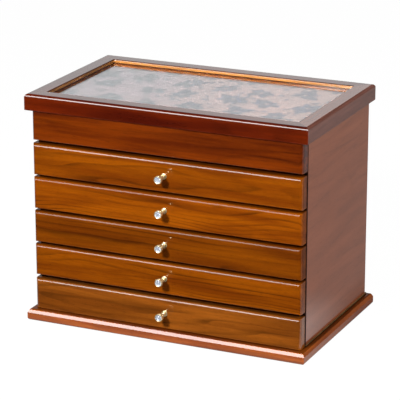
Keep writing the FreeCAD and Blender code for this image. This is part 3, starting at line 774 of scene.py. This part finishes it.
def rounded_path(corners: list[tuple[float, float, float]], steps: int = 5) -> Array:
    """Returns an open profile whose corners are rounded.

    Each corner of radius r is replaced by a quadratic curve that starts and ends r away from it
    and bends towards it: (1-t)^2 A + 2t(1-t) C + t^2 B.

    Args:
        corners: The profile's points as (across, up, radius).
        steps: The number of steps in each curve.

    Returns:
        The points as an array of pairs.
    """
    spots = np.array(corners, float)
    share = np.linspace(0.0, 1.0, steps + 1)[:, None]
    pieces = [spots[:1, :2]]
    for before, here, after in zip(spots[:-2], spots[1:-1], spots[2:]):
        corner, radius = here[:2], here[2]
        if radius <= 0:
            pieces.append(corner[None])
            continue
        back, on = before[:2] - corner, after[:2] - corner
        start = corner + back / np.linalg.norm(back) * radius
        end = corner + on / np.linalg.norm(on) * radius
        pieces.append((1 - share) ** 2 * start + 2 * share * (1 - share) * corner + share ** 2 * end)
    pieces.append(spots[-1:, :2])
    return np.concatenate(pieces)


def rounded_rectangle(half_x: Array, half_y: Array, radius: Array, steps: int = 6) -> Array:
    """Returns closed loops round rectangles with quarter-circle corners.

    A corner's points are its centre plus r (cos a, sin a), a quarter turn for each corner.

    Args:
        half_x: Each loop's half length along x.
        half_y: Each loop's half length along y.
        radius: Each loop's corner radius.
        steps: The number of steps in each corner.

    Returns:
        Points as loops by points by 2, with the first point repeated at the end.
    """
    half_x, half_y = np.maximum(half_x, 1e-7)[:, None], np.maximum(half_y, 1e-7)[:, None]
    radius = np.minimum(radius[:, None], np.minimum(half_x, half_y))
    turns = np.concatenate([np.linspace(k, k + 1, steps + 1) for k in range(4)]) * math.pi / 2
    sign_x = np.repeat([1, -1, -1, 1], steps + 1)
    sign_y = np.repeat([1, 1, -1, -1], steps + 1)
    loop_x = sign_x * (half_x - radius) + radius * np.cos(turns)
    loop_y = sign_y * (half_y - radius) + radius * np.sin(turns)
    loops = np.stack([loop_x, loop_y], axis=-1)
    return np.concatenate([loops, loops[:, :1]], axis=1)


def ringed_shell(low: Vector, high: Vector, corner: float, profile: Array) -> Array:
    """Carries a profile round a rectangle with rounded corners.

    Each point (d, h) of the profile becomes a loop that lies d inside the rectangle, at height h.

    Args:
        low: The lowest corner of the piece's box.
        high: The highest corner of the piece's box.
        corner: The outer corners' radius in plan.
        profile: The points (inset, height), outside in or inside out.

    Returns:
        The surface as profile points by loop points by 3.
    """
    half_x, half_y = (high.x - low.x) / 2, (high.y - low.y) / 2
    inset, height = profile[:, 0], profile[:, 1]
    loops = rounded_rectangle(half_x - inset, half_y - inset, np.maximum(corner - inset, 0.0))
    up = np.broadcast_to(height[:, None, None], (*loops.shape[:2], 1))
    centre = np.array([(low.x + high.x) / 2, (low.y + high.y) / 2])
    return np.concatenate([loops + centre, up], axis=-1)


def girth_uv(surface: Array) -> Array:
    """Returns UV in metres: the way travelled round and the way travelled up a surface."""
    round_step = np.linalg.norm(np.diff(surface, axis=1), axis=-1)
    up_step = np.linalg.norm(np.diff(surface, axis=0), axis=-1)
    around = np.pad(np.cumsum(round_step, axis=1), ((0, 0), (1, 0)))
    upward = np.pad(np.cumsum(up_step, axis=0), ((1, 0), (0, 0)))
    return np.stack([around, upward], axis=-1)


def wrapped(name: str, surface: Array, material: Material) -> Object:
    """Makes a piece of one surface, with its UV laid round its girth."""
    skin = Skin()
    skin.add(surface, girth_uv(surface))
    return skin.build(name, [material])


def points_of(piece: Object) -> Array:
    """Returns the points of an object's mesh as rows of three."""
    flat = np.zeros(len(piece.data.vertices) * 3)
    piece.data.vertices.foreach_get("co", flat)
    return flat.reshape(-1, 3)


def ride_for(piece: Object, body: str, node: str) -> None:
    """Puts a finished piece on its body, in place of a CAD node, which it hides."""
    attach(piece, body)
    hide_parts(node)
    log.info("piece %s on %s: %d faces", piece.name, body, len(piece.data.polygons))


# Sub-assemblies


@dataclass
class Lining:
    """A velvet-covered card lining: a thin open box with a soft rim."""

    name: str
    node: str
    body: str
    gap: float = 0.05 * MM
    wall: float = 0.95 * MM
    rim_round: float = 0.4 * MM
    foot_round: float = 1.6 * MM
    base_round: float = 0.3 * MM
    corner: float = 1.0 * MM
    swell: float = 0.35 * MM
    floor_loops: int = 14

    def build(self, velvet: Material) -> None:
        """Builds the lining from one profile carried round its rectangle.

        The floor is closed by loops that shrink to its middle line. It swells by a fraction of a
        millimetre times sin(pi u) sin(pi v), a little uneven, with u and v the shares of the
        floor crossed.
        """
        low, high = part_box(self.node)
        gap, wall, rim = self.gap, self.wall, self.rim_round
        low, high = low + Vector((gap, gap, gap)), high - Vector((gap, gap, 0))
        reach = (high.y - low.y) / 2
        inner = rounded_path([
            (reach, low.z, 0), (0, low.z, self.base_round), (0, high.z, rim), (wall, high.z, rim),
            (wall, low.z + wall, self.foot_round), (reach, low.z + wall, 0),
        ])
        floor = np.linspace(inner[-2, 0], reach, self.floor_loops)[1:, None]
        profile = np.concatenate([inner[:-1], np.hstack([floor, np.full_like(floor, low.z + wall)])])
        surface = ringed_shell(low, high, self.corner, profile)
        u = (surface[..., 0] - low.x) / (high.x - low.x)
        v = (surface[..., 1] - low.y) / (high.y - low.y)
        on_floor = (surface[..., 2] < low.z + wall * 1.2) & (surface[..., 2] > low.z + wall * 0.8)
        uneven = 1 + 0.5 * np.sin(9 * u + 5 * v)
        swell = self.swell * np.sin(math.pi * u) * np.sin(math.pi * v) * uneven
        surface[..., 2] += np.where(on_floor, np.clip(swell, 0, None), 0.0)
        ride_for(wrapped(self.name, surface, velvet), self.body, self.node)


@dataclass
class RingRolls:
    """The padded rolls between which rings stand."""

    count: int = 7
    gap: float = 0.5 * MM
    puckers: int = 9
    pucker_depth: float = 0.025
    sag_depth: float = 0.02
    width_share: float = 0.985
    stations: int = 61
    girth_points: int = 49

    def build(self, velvet: Material) -> None:
        """Builds each roll as a closed, crowned cushion.

        Across the roll, the section is a rounded box: (w |c|^a, h |s|^b) with c and s the cosine
        and sine of the way round, and a and b smaller, so squarer, below than above. Along it,
        the section shrinks near the ends by (1 - |t|^14)^(1/2.6), and small puckers run in from
        the ends.
        """
        low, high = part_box("ring_rolls")
        pitch = (high.y - low.y + self.gap) / self.count
        for number in range(self.count):
            start = low.y + pitch * number
            roll_low = Vector((low.x, start, low.z))
            roll_high = Vector((high.x, start + pitch - self.gap, high.z))
            surface = self._surface(roll_low, roll_high, number)
            roll = wrapped(f"ring_roll_{number + 1}", surface, velvet)
            ride_for(roll, "case", "ring_rolls")

    def _surface(self, low: Vector, high: Vector, seed: int) -> Array:
        """Returns one roll's surface as stations by points round by 3."""
        along = np.sin(np.linspace(-math.pi / 2, math.pi / 2, self.stations))
        turn = np.linspace(0, 2 * math.pi, self.girth_points)
        t, a = np.meshgrid(along, turn, indexing="ij")
        half, middle = (high - low) / 2, (high + low) / 2
        cosine, sine = np.cos(a), np.sin(a)
        is_above = sine > 0
        across = np.sign(cosine) * np.abs(cosine) ** np.where(is_above, 0.72, 0.3)
        up = np.sign(sine) * np.abs(sine) ** np.where(is_above, 0.82, 0.35)
        shrink = np.clip(1 - np.abs(t) ** 14, 0, 1) ** (1 / 2.6)
        wave = 0.5 + 0.5 * np.sin(self.puckers * a + seed * 1.3)
        pucker = 1 - self.pucker_depth * np.abs(t) ** 6 * wave
        sag = 1 - self.sag_depth * np.sin(3 * math.pi * t + seed) ** 2
        y = middle.y + across * half.y * self.width_share * shrink * pucker
        z = middle.z + up * half.z * shrink * np.where(up > 0, pucker * sag, 1.0)
        return np.stack([middle.x + t * half.x, y, z], axis=-1)


@dataclass
class Dividers:
    """Velvet-covered partitions of the tray, with rounded top edges."""

    thick: float = 3 * MM
    shy: float = 0.02 * MM
    foot_round: float = 0.2 * MM
    top_round: float = 1.3 * MM
    corner: float = 0.3 * MM

    def build(self, velvet: Material) -> None:
        """Builds each partition as a profile carried round its thin rectangle in plan."""
        low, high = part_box("tray_dividers")
        foot, top = low.z + self.shy, high.z
        for number, (x0, y0, x1, y1) in enumerate(self._rectangles(), start=1):
            reach = min(x1 - x0, y1 - y0) / 2
            profile = rounded_path([
                (reach, foot, 0), (0, foot, self.foot_round), (0, top, self.top_round), (reach, top, 0),
            ], steps=8)
            surface = ringed_shell(Vector((x0, y0, foot)), Vector((x1, y1, top)), self.corner, profile)
            divider = wrapped(f"tray_divider_{number}", surface, velvet)
            ride_for(divider, "case", "tray_dividers")

    def _rectangles(self) -> list[tuple[float, float, float, float]]:
        """Reads the partitions' outlines in plan from the CAD node's own points.

        Two partitions run from front to back. One more stands on each side of them, and one
        between them behind the ring rolls. A partition across starts at a point that has another
        one its own thickness behind it.
        """
        points = points_of(bpy.data.objects["tray_dividers"])
        xs, ys = np.unique(points[:, 0].round(5)), np.unique(points[:, 1].round(5))
        thick, shy, same = self.thick, self.shy, 1e-5
        least_front, least_back = 50 * MM, 10 * MM
        left, right = xs[1], xs[3]
        middle = next(y for y in ys if any(abs(other - y - thick) < same for other in ys)
                      and ys[0] + least_front < y < (ys[0] + ys[-1]) / 2)
        ring = next((y for y in ys if middle + thick + same < y < ys[-1] - least_back), middle)
        return [
            (left, ys[0], left + thick, ys[-1]),
            (right, ys[0], right + thick, ys[-1]),
            (xs[0], middle, left - shy, middle + thick),
            (right + thick + shy, middle, xs[-1], middle + thick),
            (left + thick + shy, ring, right - shy, ring + thick),
        ]


@dataclass
class FeltPads:
    """Four square pads of felt with soft edges."""

    side: float = 24 * MM
    foot_round: float = 0.4 * MM
    top_round: float = 0.25 * MM
    corner: float = 1.0 * MM

    def build(self, felt: Material) -> None:
        """Builds each pad as a profile carried round its square."""
        low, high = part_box("felt_pads")
        side = self.side
        profile = rounded_path([
            (side / 2, low.z, 0), (0, low.z, self.foot_round), (0, high.z, self.top_round),
            (side / 2, high.z, 0),
        ])
        places = [(x, y) for y in (low.y, high.y - side) for x in (low.x, high.x - side)]
        for number, (x, y) in enumerate(places, start=1):
            pad_low, pad_high = Vector((x, y, low.z)), Vector((x + side, y + side, high.z))
            surface = ringed_shell(pad_low, pad_high, self.corner, profile)
            ride_for(wrapped(f"felt_pad_{number}", surface, felt), "case", "felt_pads")


@dataclass
class PanelCloth:
    """The woven panel under the lid's glass, with a generic all-over pattern of leaf rosettes."""

    tile_x: float = 50 * MM
    tile_y: float = 44 * MM
    thick: float = 0.4 * MM
    step: float = 0.9 * MM
    edge: float = 1.0 * MM
    shy: float = 0.1 * MM
    wave: float = 0.06 * MM
    leaves: int = 7
    loose_leaves: int = 5
    seed: int = 11

    def build(self, cloth_finish: Material) -> None:
        """Builds the cloth as one stretched sheet and weaves the pattern into it."""
        low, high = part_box("lid_fabric")
        x = np.linspace(low.x + self.shy, high.x - self.shy, int((high.x - low.x) / self.step))
        y = np.linspace(low.y + self.shy, high.y - self.shy, int((high.y - low.y) / self.step))
        across, along = np.meshgrid(x, y, indexing="xy")
        wave = self.wave * np.sin(across * 70) * np.sin(along * 95)
        top = np.stack([across, along, low.z + self.thick + wave], axis=-1)
        skin = Skin()
        skin.add(top, top[..., :2])
        cloth = skin.build("lid_panel_cloth", [cloth_finish], closed=False)
        points = points_of(cloth)
        mask = self._pattern(points[:, 0], points[:, 1], low, high).astype(np.float32)
        cloth.data.attributes.new("figure", "FLOAT", "POINT").data.foreach_set("value", mask)
        ride_for(cloth, "lid", "lid_fabric")

    def _pattern(self, x: Array, y: Array, low: Vector, high: Vector) -> Array:
        """Returns how much each point belongs to the figure, from 0 to 1.

        Rosettes of leaves stand in rows, each row half a step aside, with loose leaves between.
        """
        random = np.random.default_rng(self.seed)
        mask = np.zeros_like(x)
        for row in range(int((high.y - low.y) / self.tile_y) + 2):
            for column in range(int((high.x - low.x) / self.tile_x) + 2):
                place = np.array([low.x + (column + 0.5 * (row % 2) - 0.2) * self.tile_x,
                                  low.y + (row + 0.1) * self.tile_y])
                place += random.uniform(-7, 7, 2) * MM
                for leaf in self._rosette(random, place):
                    mask = np.maximum(mask, random.uniform(0.7, 1.0) * self._leaf(x, y, *leaf))
        return mask

    def _rosette(self, random: np.random.Generator, place: Array) -> Array:
        """Returns leaves as rows of x, y, angle, length, half width and bend."""
        size = random.uniform(0.75, 1.1)
        turn = np.arange(self.leaves) * 2 * math.pi / self.leaves + random.uniform(0, 6.28)
        turn += random.uniform(-0.25, 0.25, self.leaves)
        length = random.uniform(12, 25, self.leaves) * MM * size
        ring = np.stack([
            place[0] + 2 * MM * np.cos(turn), place[1] + 2 * MM * np.sin(turn), turn, length,
            length * random.uniform(0.26, 0.4, self.leaves), random.uniform(-0.6, 0.6, self.leaves)], axis=-1)
        count = self.loose_leaves
        around = random.uniform(0, 6.28, count)
        far = random.uniform(26, 36, count) * MM
        loose = np.stack([
            place[0] + far * np.cos(around), place[1] + far * np.sin(around), random.uniform(0, 6.28, count),
            random.uniform(7, 13, count) * MM, random.uniform(1.8, 3.2, count) * MM,
            random.uniform(-0.8, 0.8, count)], axis=-1)
        return np.concatenate([ring, loose])

    def _leaf(self, x: Array, y: Array, x0: float, y0: float, angle: float, length: float, half: float,
              bend: float) -> Array:
        """Returns one leaf's mask.

        With s the share of the midrib passed, the leaf reaches half * sin(pi s)^0.8 * (1.15 - 0.5 s)
        to each side of it, a little scalloped. The midrib bends away by bend * length * s^2 / 2.
        """
        dx, dy = x - x0, y - y0
        s = (dx * math.cos(angle) + dy * math.sin(angle)) / length
        side = -dx * math.sin(angle) + dy * math.cos(angle) - bend * length * s * np.abs(s) / 2
        inside = np.clip(s, 0.0, 1.0)
        reach = half * np.sin(math.pi * inside) ** 0.8 * (1.15 - 0.5 * inside)
        reach = reach * (1 + 0.16 * np.sin(22 * s + angle * 3))
        return np.clip((reach - np.abs(side)) / self.edge + 0.5, 0.0, 1.0) * (s > 0) * (s < 1)


# The knob's profile in mm: radius, height and rounding of each corner. The rosette and the
# beaded stem are measured from the drawer's face, the cup with the stone's seat from its rim.
KNOB_STEM = (
    (3.48, 0.0, 0.1), (3.48, 0.75, 0.3), (2.9, 0.95, 0.1), (2.7, 1.28, 0.3), (1.95, 1.45, 0.3),
    (1.95, 2.6, 0.3), (2.7, 2.8, 0.3), (2.75, 4.4, 0.6), (1.9, 4.8, 0.3), (1.75, 6.6, 0.8),
    (2.1, 8.3, 0.4), (2.9, 8.5, 0.3), (2.95, 9.9, 0.6), (2.4, 10.3, 0.3),
)
KNOB_CUP = (
    (4.35, -3.9, 0.5), (4.62, -3.2, 0.3), (4.45, -1.9, 0.3), (4.62, -1.1, 0.3), (4.62, -0.1, 0.35),
    (4.1, 0.0, 0.2), (3.62, -0.25, 0.15), (3.62, -0.4, 0.05), (4.12, -0.45, 0.05), (4.12, -1.15, 0.05),
    (0.0, -1.17, 0.0),
)
# The stone's loops: share of its radius, height in mm and sway. The crown has the table, star,
# main and girdle facets. The pavilion is the foiled back, which comes to a point.
CROWN = ((0.0, 3.15, 0.0), (0.5, 3.15, 0.07), (0.72, 2.3, -0.06), (0.88, 0.8, 0.0), (1.0, 0.58, 0.0),
         (1.0, 0.45, 0.0))
PAVILION = ((1.0, 0.45, 0.0), (0.55, 0.25, 0.08), (0.0, 0.03, 0.0))


@dataclass
class Knob:
    """A turned brass knob with a cut stone in its face."""

    drawer: int
    segments: int = 72
    sides: int = 10
    stud_radius: float = 1.45 * MM
    stud_round: float = 0.2 * MM
    stone_radius: float = 4.05 * MM
    stone_seat: float = 1.05 * MM

    def build(self, brass: Material, foil: Material, stone: Material) -> None:
        """Builds the turned body, and the stone with its foiled back."""
        body = f"drawer_{self.drawer}"
        knob_low, knob_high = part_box(f"{body}_knob")
        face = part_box(f"{body}_front")[0].y
        centre = Vector((0, face, (knob_low.z + knob_high.z) / 2))
        rim, stud = face - knob_low.y, knob_high.y - face
        profile = rounded_path([
            (0, -stud, 0), (self.stud_radius, -stud, self.stud_round), (self.stud_radius, 0, 0),
            *((radius * MM, height * MM, bend * MM) for radius, height, bend in KNOB_STEM),
            *((radius * MM, rim + height * MM, bend * MM) for radius, height, bend in KNOB_CUP),
        ], steps=4)
        turned = Skin()
        turned.add(self._placed(lathe(profile, self.segments), centre))
        ride_for(turned.build(f"{body}_turned_knob", [brass]), body, f"{body}_knob")
        gem = Skin()
        for slot, loops in enumerate((CROWN, PAVILION)):
            gem.add(self._placed(self._facets(rim - self.stone_seat, loops), centre), slot=slot)
        cut = gem.build(f"{body}_cut_stone", [stone, foil], smooth=False)
        ride_for(cut, body, f"{body}_crystal")

    def _placed(self, surface: Array, centre: Vector) -> Array:
        """Turns a surface from along Z to along -Y and moves it to the knob's centre."""
        x, y, z = surface[..., 0], surface[..., 1], surface[..., 2]
        return np.stack([centre.x + x, centre.y - z, centre.z + y], axis=-1)

    def _facets(self, low: float, loops: tuple[tuple[float, float, float], ...]) -> Array:
        """Stacks many-sided loops about Z.

        A loop has twice as many corners as the stone has sides. Its sway turns every second
        corner in or out, so that the bands between the loops break into kites and triangles.

        Args:
            low: The height from which the loops are measured.
            loops: Each loop's share of the stone's radius, height in mm and sway.

        Returns:
            The surface as loops by corners by 3.
        """
        count = self.sides * 2
        turn = np.arange(count + 1) * 2 * math.pi / count
        odd = np.where(np.arange(count + 1) % 2, 1.0, -1.0)
        share, height, sway = np.array(loops).T[..., None]
        radius = self.stone_radius * share * (1 + sway * odd)
        up = np.broadcast_to(low + height * MM, radius.shape)
        return np.stack([radius * np.cos(turn), radius * np.sin(turn), up], axis=-1)


@dataclass
class Screws:
    """The hinges' countersunk, slotted screws."""

    node: str
    body: str
    upward: bool
    head: float = 1.7 * MM
    shank: float = 0.88 * MM
    spacing: float = 15 * MM
    proud: float = 0.1 * MM
    slot_depth: float = 0.35 * MM
    slot_half: float = 0.26 * MM
    turn: float = 0.4
    turn_step: float = 0.9
    head_loops: int = 15
    segments: int = 32

    def build(self, brass: Material) -> None:
        """Builds the screws, two in each of the two leaves, each with its slot turned further."""
        low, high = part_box(self.node)
        top, sign = (high.z, 1.0) if self.upward else (low.z, -1.0)
        middle, reach = (low.y + high.y) / 2, (high.y - low.y) / 2
        first, last = low.x + reach, high.x - reach
        skin = Skin()
        for number, x in enumerate((first, first + self.spacing, last - self.spacing, last)):
            turn = self.turn + number * self.turn_step
            skin.add(self._screw(Vector((x, middle, top)), sign, high.z - low.z, turn))
        ride_for(skin.build(f"{self.node}_slotted", [brass]), self.body, self.node)

    def _screw(self, place: Vector, sign: float, length: float, turn: float) -> Array:
        """Returns one screw's surface as a turned head and shank.

        The slot is a fold of the head's top: points within half the slot's width of its middle
        line are sunk by its depth.

        Args:
            place: The middle of the screw's seat.
            sign: 1 for a head that faces up, -1 for one that faces down.
            length: How far the screw reaches.
            turn: The slot's angle.

        Returns:
            The surface as loops by points round by 3.
        """
        head, shank = self.head, self.shank
        flat = np.linspace(0, head, self.head_loops)
        radii = np.concatenate([flat, [head, shank * 1.1, shank, shank, shank * 0.5, 0]])[:, None]
        downs = np.concatenate([flat * 0, np.array([0.12, 0.85, 1.0, 7.4, 8.6, 8.9]) * MM])[:, None]
        downs = np.minimum(downs, length)
        angle = np.linspace(0, 2 * math.pi, self.segments + 1)
        around_x, around_y = radii * np.cos(angle), radii * np.sin(angle)
        is_top = downs < 0.05 * MM
        is_slot = is_top & (np.abs(around_x * math.sin(turn) - around_y * math.cos(turn)) < self.slot_half)
        down = downs + np.where(is_slot, self.slot_depth, 0.0) - self.proud * is_top
        return np.stack([place.x + around_x, place.y + around_y, place.z - sign * down], axis=-1)


@dataclass
class Boards:
    """The wooden CAD nodes and their grain."""

    seeds: tuple[float, ...] = (1.3, 2.6, 3.9, 5.1, 6.7)
    tones: tuple[float, ...] = (0.79, 0.885, 0.59, 0.75, 0.87)
    coats: tuple[float, ...] = (0.62, 0.29, 0.3, 0.5, 0.68)

    def dress(self) -> None:
        """Gives each wooden node its finish."""
        self._coat("top_rail", replace(RAIL_WOOD, tone=0.85), Axis.X, 5.6)
        for number, (seed, tone, coat) in enumerate(zip(self.seeds, self.tones, self.coats), start=1):
            wood = BROWN_WOOD if number == DRAWER_COUNT else FRONT_WOOD
            self._coat(f"drawer_{number}_front", replace(wood, tone=tone, coat=coat), Axis.X, seed)
        for name, seed in (("side_panel_left", 8.1), ("side_panel_right", 9.4), ("back_panel", 10.8)):
            self._coat(name, CASE_WOOD, Axis.X if name == "back_panel" else Axis.Y, seed)
        for name, axis, seed in (("lid_rail_front", Axis.X, 12.2), ("lid_rail_back", Axis.X, 13.1),
                                 ("lid_rail_left", Axis.Y, 14.7), ("lid_rail_right", Axis.Y, 15.3)):
            self._coat(name, LID_FINISHES[name], axis, seed)
        self._coat("base_board", BASE_WOOD, Axis.X, 17.9, mitred=True)
        self._coat("floor_board", EDGE_WOOD, Axis.X, 18.3)
        for name, seed in (("drawer_shelves", 19.1), ("tray_floor", 20.2), ("lid_backing", 21.4)):
            self._coat(name, PLAIN_WOOD, Axis.X, seed)
        for number in range(1, DRAWER_COUNT + 1):
            self._coat(f"drawer_{number}_sides", PLAIN_WOOD, Axis.Y, 22.0 + number * 1.7)
            self._coat(f"drawer_{number}_back", PLAIN_WOOD, Axis.X, 31.0 + number * 1.3)
            self._coat(f"drawer_{number}_bottom", PLAIN_WOOD, Axis.X, 41.0 + number * 1.9)

    def _coat(self, name: str, finish: WoodFinish, grain: Axis, seed: float, mitred: bool = False) -> None:
        """Puts a wood finish on one CAD node."""
        low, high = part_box(name)
        put_on(name, finish.material(name, low, high, grain, seed, mitred))


def put_on(name: str, material: Material) -> None:
    """Gives a CAD node one material."""
    mesh = bpy.data.objects[name].data
    mesh.materials.clear()
    mesh.materials.append(material)
    log.info("node %s: %s", name, material.name)


# Studio


def outward(azimuth: float, elevation: float) -> Vector:
    """Returns the direction (sin a cos e, -cos a cos e, sin e) away from the box."""
    return Vector((math.sin(azimuth) * math.cos(elevation), -math.cos(azimuth) * math.cos(elevation),
                   math.sin(elevation)))


@dataclass(frozen=True)
class Softbox:
    """One area light that looks at the box; angles are in degrees, from the front to the right."""

    name: str
    azimuth: float
    elevation: float
    distance: float
    width: float
    height: float
    power: float
    only_mirrored: bool = False


@dataclass
class Studio:
    """Floor, world, lamps and camera.

    Reflections see a backdrop behind the box, which is bright up to a height and towards the
    left, and a dark room before it. The floor too is brighter to reflections before the box, and
    darker to them beside its right side, where a contact shadow is painted.
    """

    lens: float = 196.91
    sensor: float = 36.0
    camera_place: tuple[float, float, float] = (1.00093, -2.17674, 0.89921)
    turn: tuple[float, float, float] = (0.30706, -0.00101, 0.43098)
    floor_reach: float = 6.0
    aim_height: float = 0.13
    ambient: float = 0.06
    backdrop: float = 1.0
    dark_side: float = 0.008
    floor_bounce: float = 0.45
    floor_behind: float = 0.3
    floor_near: float = 1.4
    floor_white: float = 1.09
    softboxes: tuple[Softbox, ...] = (
        Softbox("key_softbox", -6.0, 31.0, 1.7, 0.22, 0.22, 32.5),
        Softbox("strip_softbox", -26.0, 32.0, 1.6, 0.68, 0.66, 18.3, only_mirrored=True),
        Softbox("right_softbox", 80.0, 35.0, 1.8, 0.9, 0.7, 17.0),
    )

    def build(self) -> None:
        """Sets up everything round the box."""
        scene = bpy.context.scene
        scene.view_settings.view_transform = "Standard"
        self._camera(scene)
        self._world(scene)
        self._floor()
        for box in self.softboxes:
            self._lamp(box)

    def _camera(self, scene: bpy.types.Scene) -> None:
        """Puts the camera where the photograph was taken.

        Its backward axis points away from the box, and its other two are turned by the roll.
        """
        elevation, roll, azimuth = self.turn
        back = outward(azimuth, elevation)
        right = Vector((math.cos(azimuth), math.sin(azimuth), 0))
        up = back.cross(right)
        rolled_right = math.cos(roll) * right + math.sin(roll) * up
        rolled_up = -math.sin(roll) * right + math.cos(roll) * up
        data = bpy.data.cameras.new("camera")
        data.sensor_width = self.sensor
        data.lens = self.lens
        camera = bpy.data.objects.new("camera", data)
        turned = Matrix((rolled_right, rolled_up, back)).transposed().to_4x4()
        camera.matrix_world = Matrix.Translation(Vector(self.camera_place)) @ turned
        scene.collection.objects.link(camera)
        scene.camera = camera

    def _world(self, scene: bpy.types.Scene) -> None:
        """Makes a white backdrop, which mirrors see bright behind the box and dark before it."""
        world = bpy.data.worlds.new("studio")
        world.use_nodes = True
        graph = Graph(world.node_tree)
        aside, depth, height = graph.split(graph.add("TexCoord").outputs["Generated"])
        behind = graph.span(depth, -0.3, 0.35, self.dark_side, self.backdrop, smooth=True)
        lofty = graph.span(height, 0.31, 0.4, 1.0, 0.06, smooth=True)
        beside = graph.span(aside, 0.12, 0.28, 1.0, 0.12, smooth=True)
        mirrored = graph.times(graph.times(behind, lofty), beside)
        path = graph.add("LightPath")
        gain = graph.minus(mirrored, self.ambient)
        soft = graph.math("MULTIPLY_ADD", graph.mirrored_ray(path), gain, self.ambient)
        level = graph.math("MAXIMUM", soft, path.outputs["Is Camera Ray"])
        graph.give(graph.find("Background"), Strength=level, Color=WHITE)
        scene.world = world

    def _floor(self) -> None:
        """Lays a pale floor: white to the camera but for the box's shadow."""
        line = np.linspace(-self.floor_reach, self.floor_reach, 3)
        x, y = np.meshgrid(line, line, indexing="xy")
        skin = Skin()
        skin.add(np.stack([x, y, np.zeros_like(x)], axis=-1))
        made, graph, shader, point = start_material("floor_paper")
        grey = (self.floor_bounce, self.floor_bounce, self.floor_bounce, 1.0)
        graph.give(shader, Base_Color=grey, Roughness=0.9, Specular_IOR_Level=0.0)
        path = graph.add("LightPath")
        aside, depth, _ = graph.split(point)
        front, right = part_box("base_board")[0].y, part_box("base_board")[1].x
        close = graph.span(depth, front - 0.036, front - 0.01, 0.006, self.floor_near, smooth=True)
        # Painted contact shadow: beside the box's right side the floor is darker to reflections.
        beside = graph.span(aside, right, right + 0.04, 0.45, 1.0, smooth=True)
        far = graph.span(depth, front, front + 0.25, close, self.floor_behind, smooth=True)
        camera = path.outputs["Is Camera Ray"]
        level = graph.math("MAXIMUM", graph.times(camera, self.floor_white), graph.times(far, beside))
        glow = graph.add("Emission")
        graph.give(glow, Strength=level, Color=WHITE)
        graph.surface(graph.math("MAXIMUM", graph.times(camera, 0.9), graph.mirrored_ray(path)), shader, glow)
        skin.build("floor", [made], closed=False)

    def _lamp(self, box: Softbox) -> None:
        """Hangs one softbox and aims it at the middle of the box."""
        away = outward(math.radians(box.azimuth), math.radians(box.elevation))
        data = bpy.data.lights.new(box.name, "AREA")
        data.shape = "RECTANGLE"
        data.size = box.width
        data.size_y = box.height
        data.energy = box.power
        lamp = bpy.data.objects.new(box.name, data)
        lamp.location = Vector((0, 0, self.aim_height)) + away * box.distance
        lamp.visible_diffuse = not box.only_mirrored
        lamp.rotation_mode = "QUATERNION"
        lamp.rotation_quaternion = away.to_track_quat("Z", "Y")
        bpy.context.scene.collection.objects.link(lamp)


# Building


@dataclass
class JewelleryBox:
    """The whole box: CAD nodes with finishes, and the soft and small pieces made here."""

    boards: Boards = field(default_factory=Boards)
    rolls: RingRolls = field(default_factory=RingRolls)
    dividers: Dividers = field(default_factory=Dividers)
    pads: FeltPads = field(default_factory=FeltPads)
    panel: PanelCloth = field(default_factory=PanelCloth)

    def build(self) -> None:
        """Builds and dresses every piece."""
        velvet, felt = VELVET.material(), FELT.material()
        brass, foil = BRASS.material(), FOIL.material()
        pane, stone, silvering = PANE.material(), STONE.material(), SILVERING.material()
        self.boards.dress()
        put_on("lid_glass", pane)
        put_on("lid_mirror", silvering)
        for name in ("hinge_leaves_case", "hinge_leaves_lid", "hinge_pins"):
            put_on(name, brass)
        self.pads.build(felt)
        Lining("tray_velvet", "tray_lining", "case").build(velvet)
        self.dividers.build(velvet)
        self.rolls.build(velvet)
        self.panel.build(PANEL_CLOTH.material())
        Screws("hinge_screws_case", "case", True).build(brass)
        Screws("hinge_screws_lid", "lid", False).build(brass)
        for number in range(1, DRAWER_COUNT + 1):
            Lining(f"drawer_{number}_velvet", f"drawer_{number}_lining", f"drawer_{number}").build(velvet)
            Knob(number).build(brass, foil, stone)


def main() -> None:
    """Builds the scene."""
    logging.basicConfig(level=logging.INFO, format="%(name)s: %(message)s")
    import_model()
    Studio().build()
    JewelleryBox().build()
    bpy.context.view_layer.update()


if __name__ == "__main__":
    main()
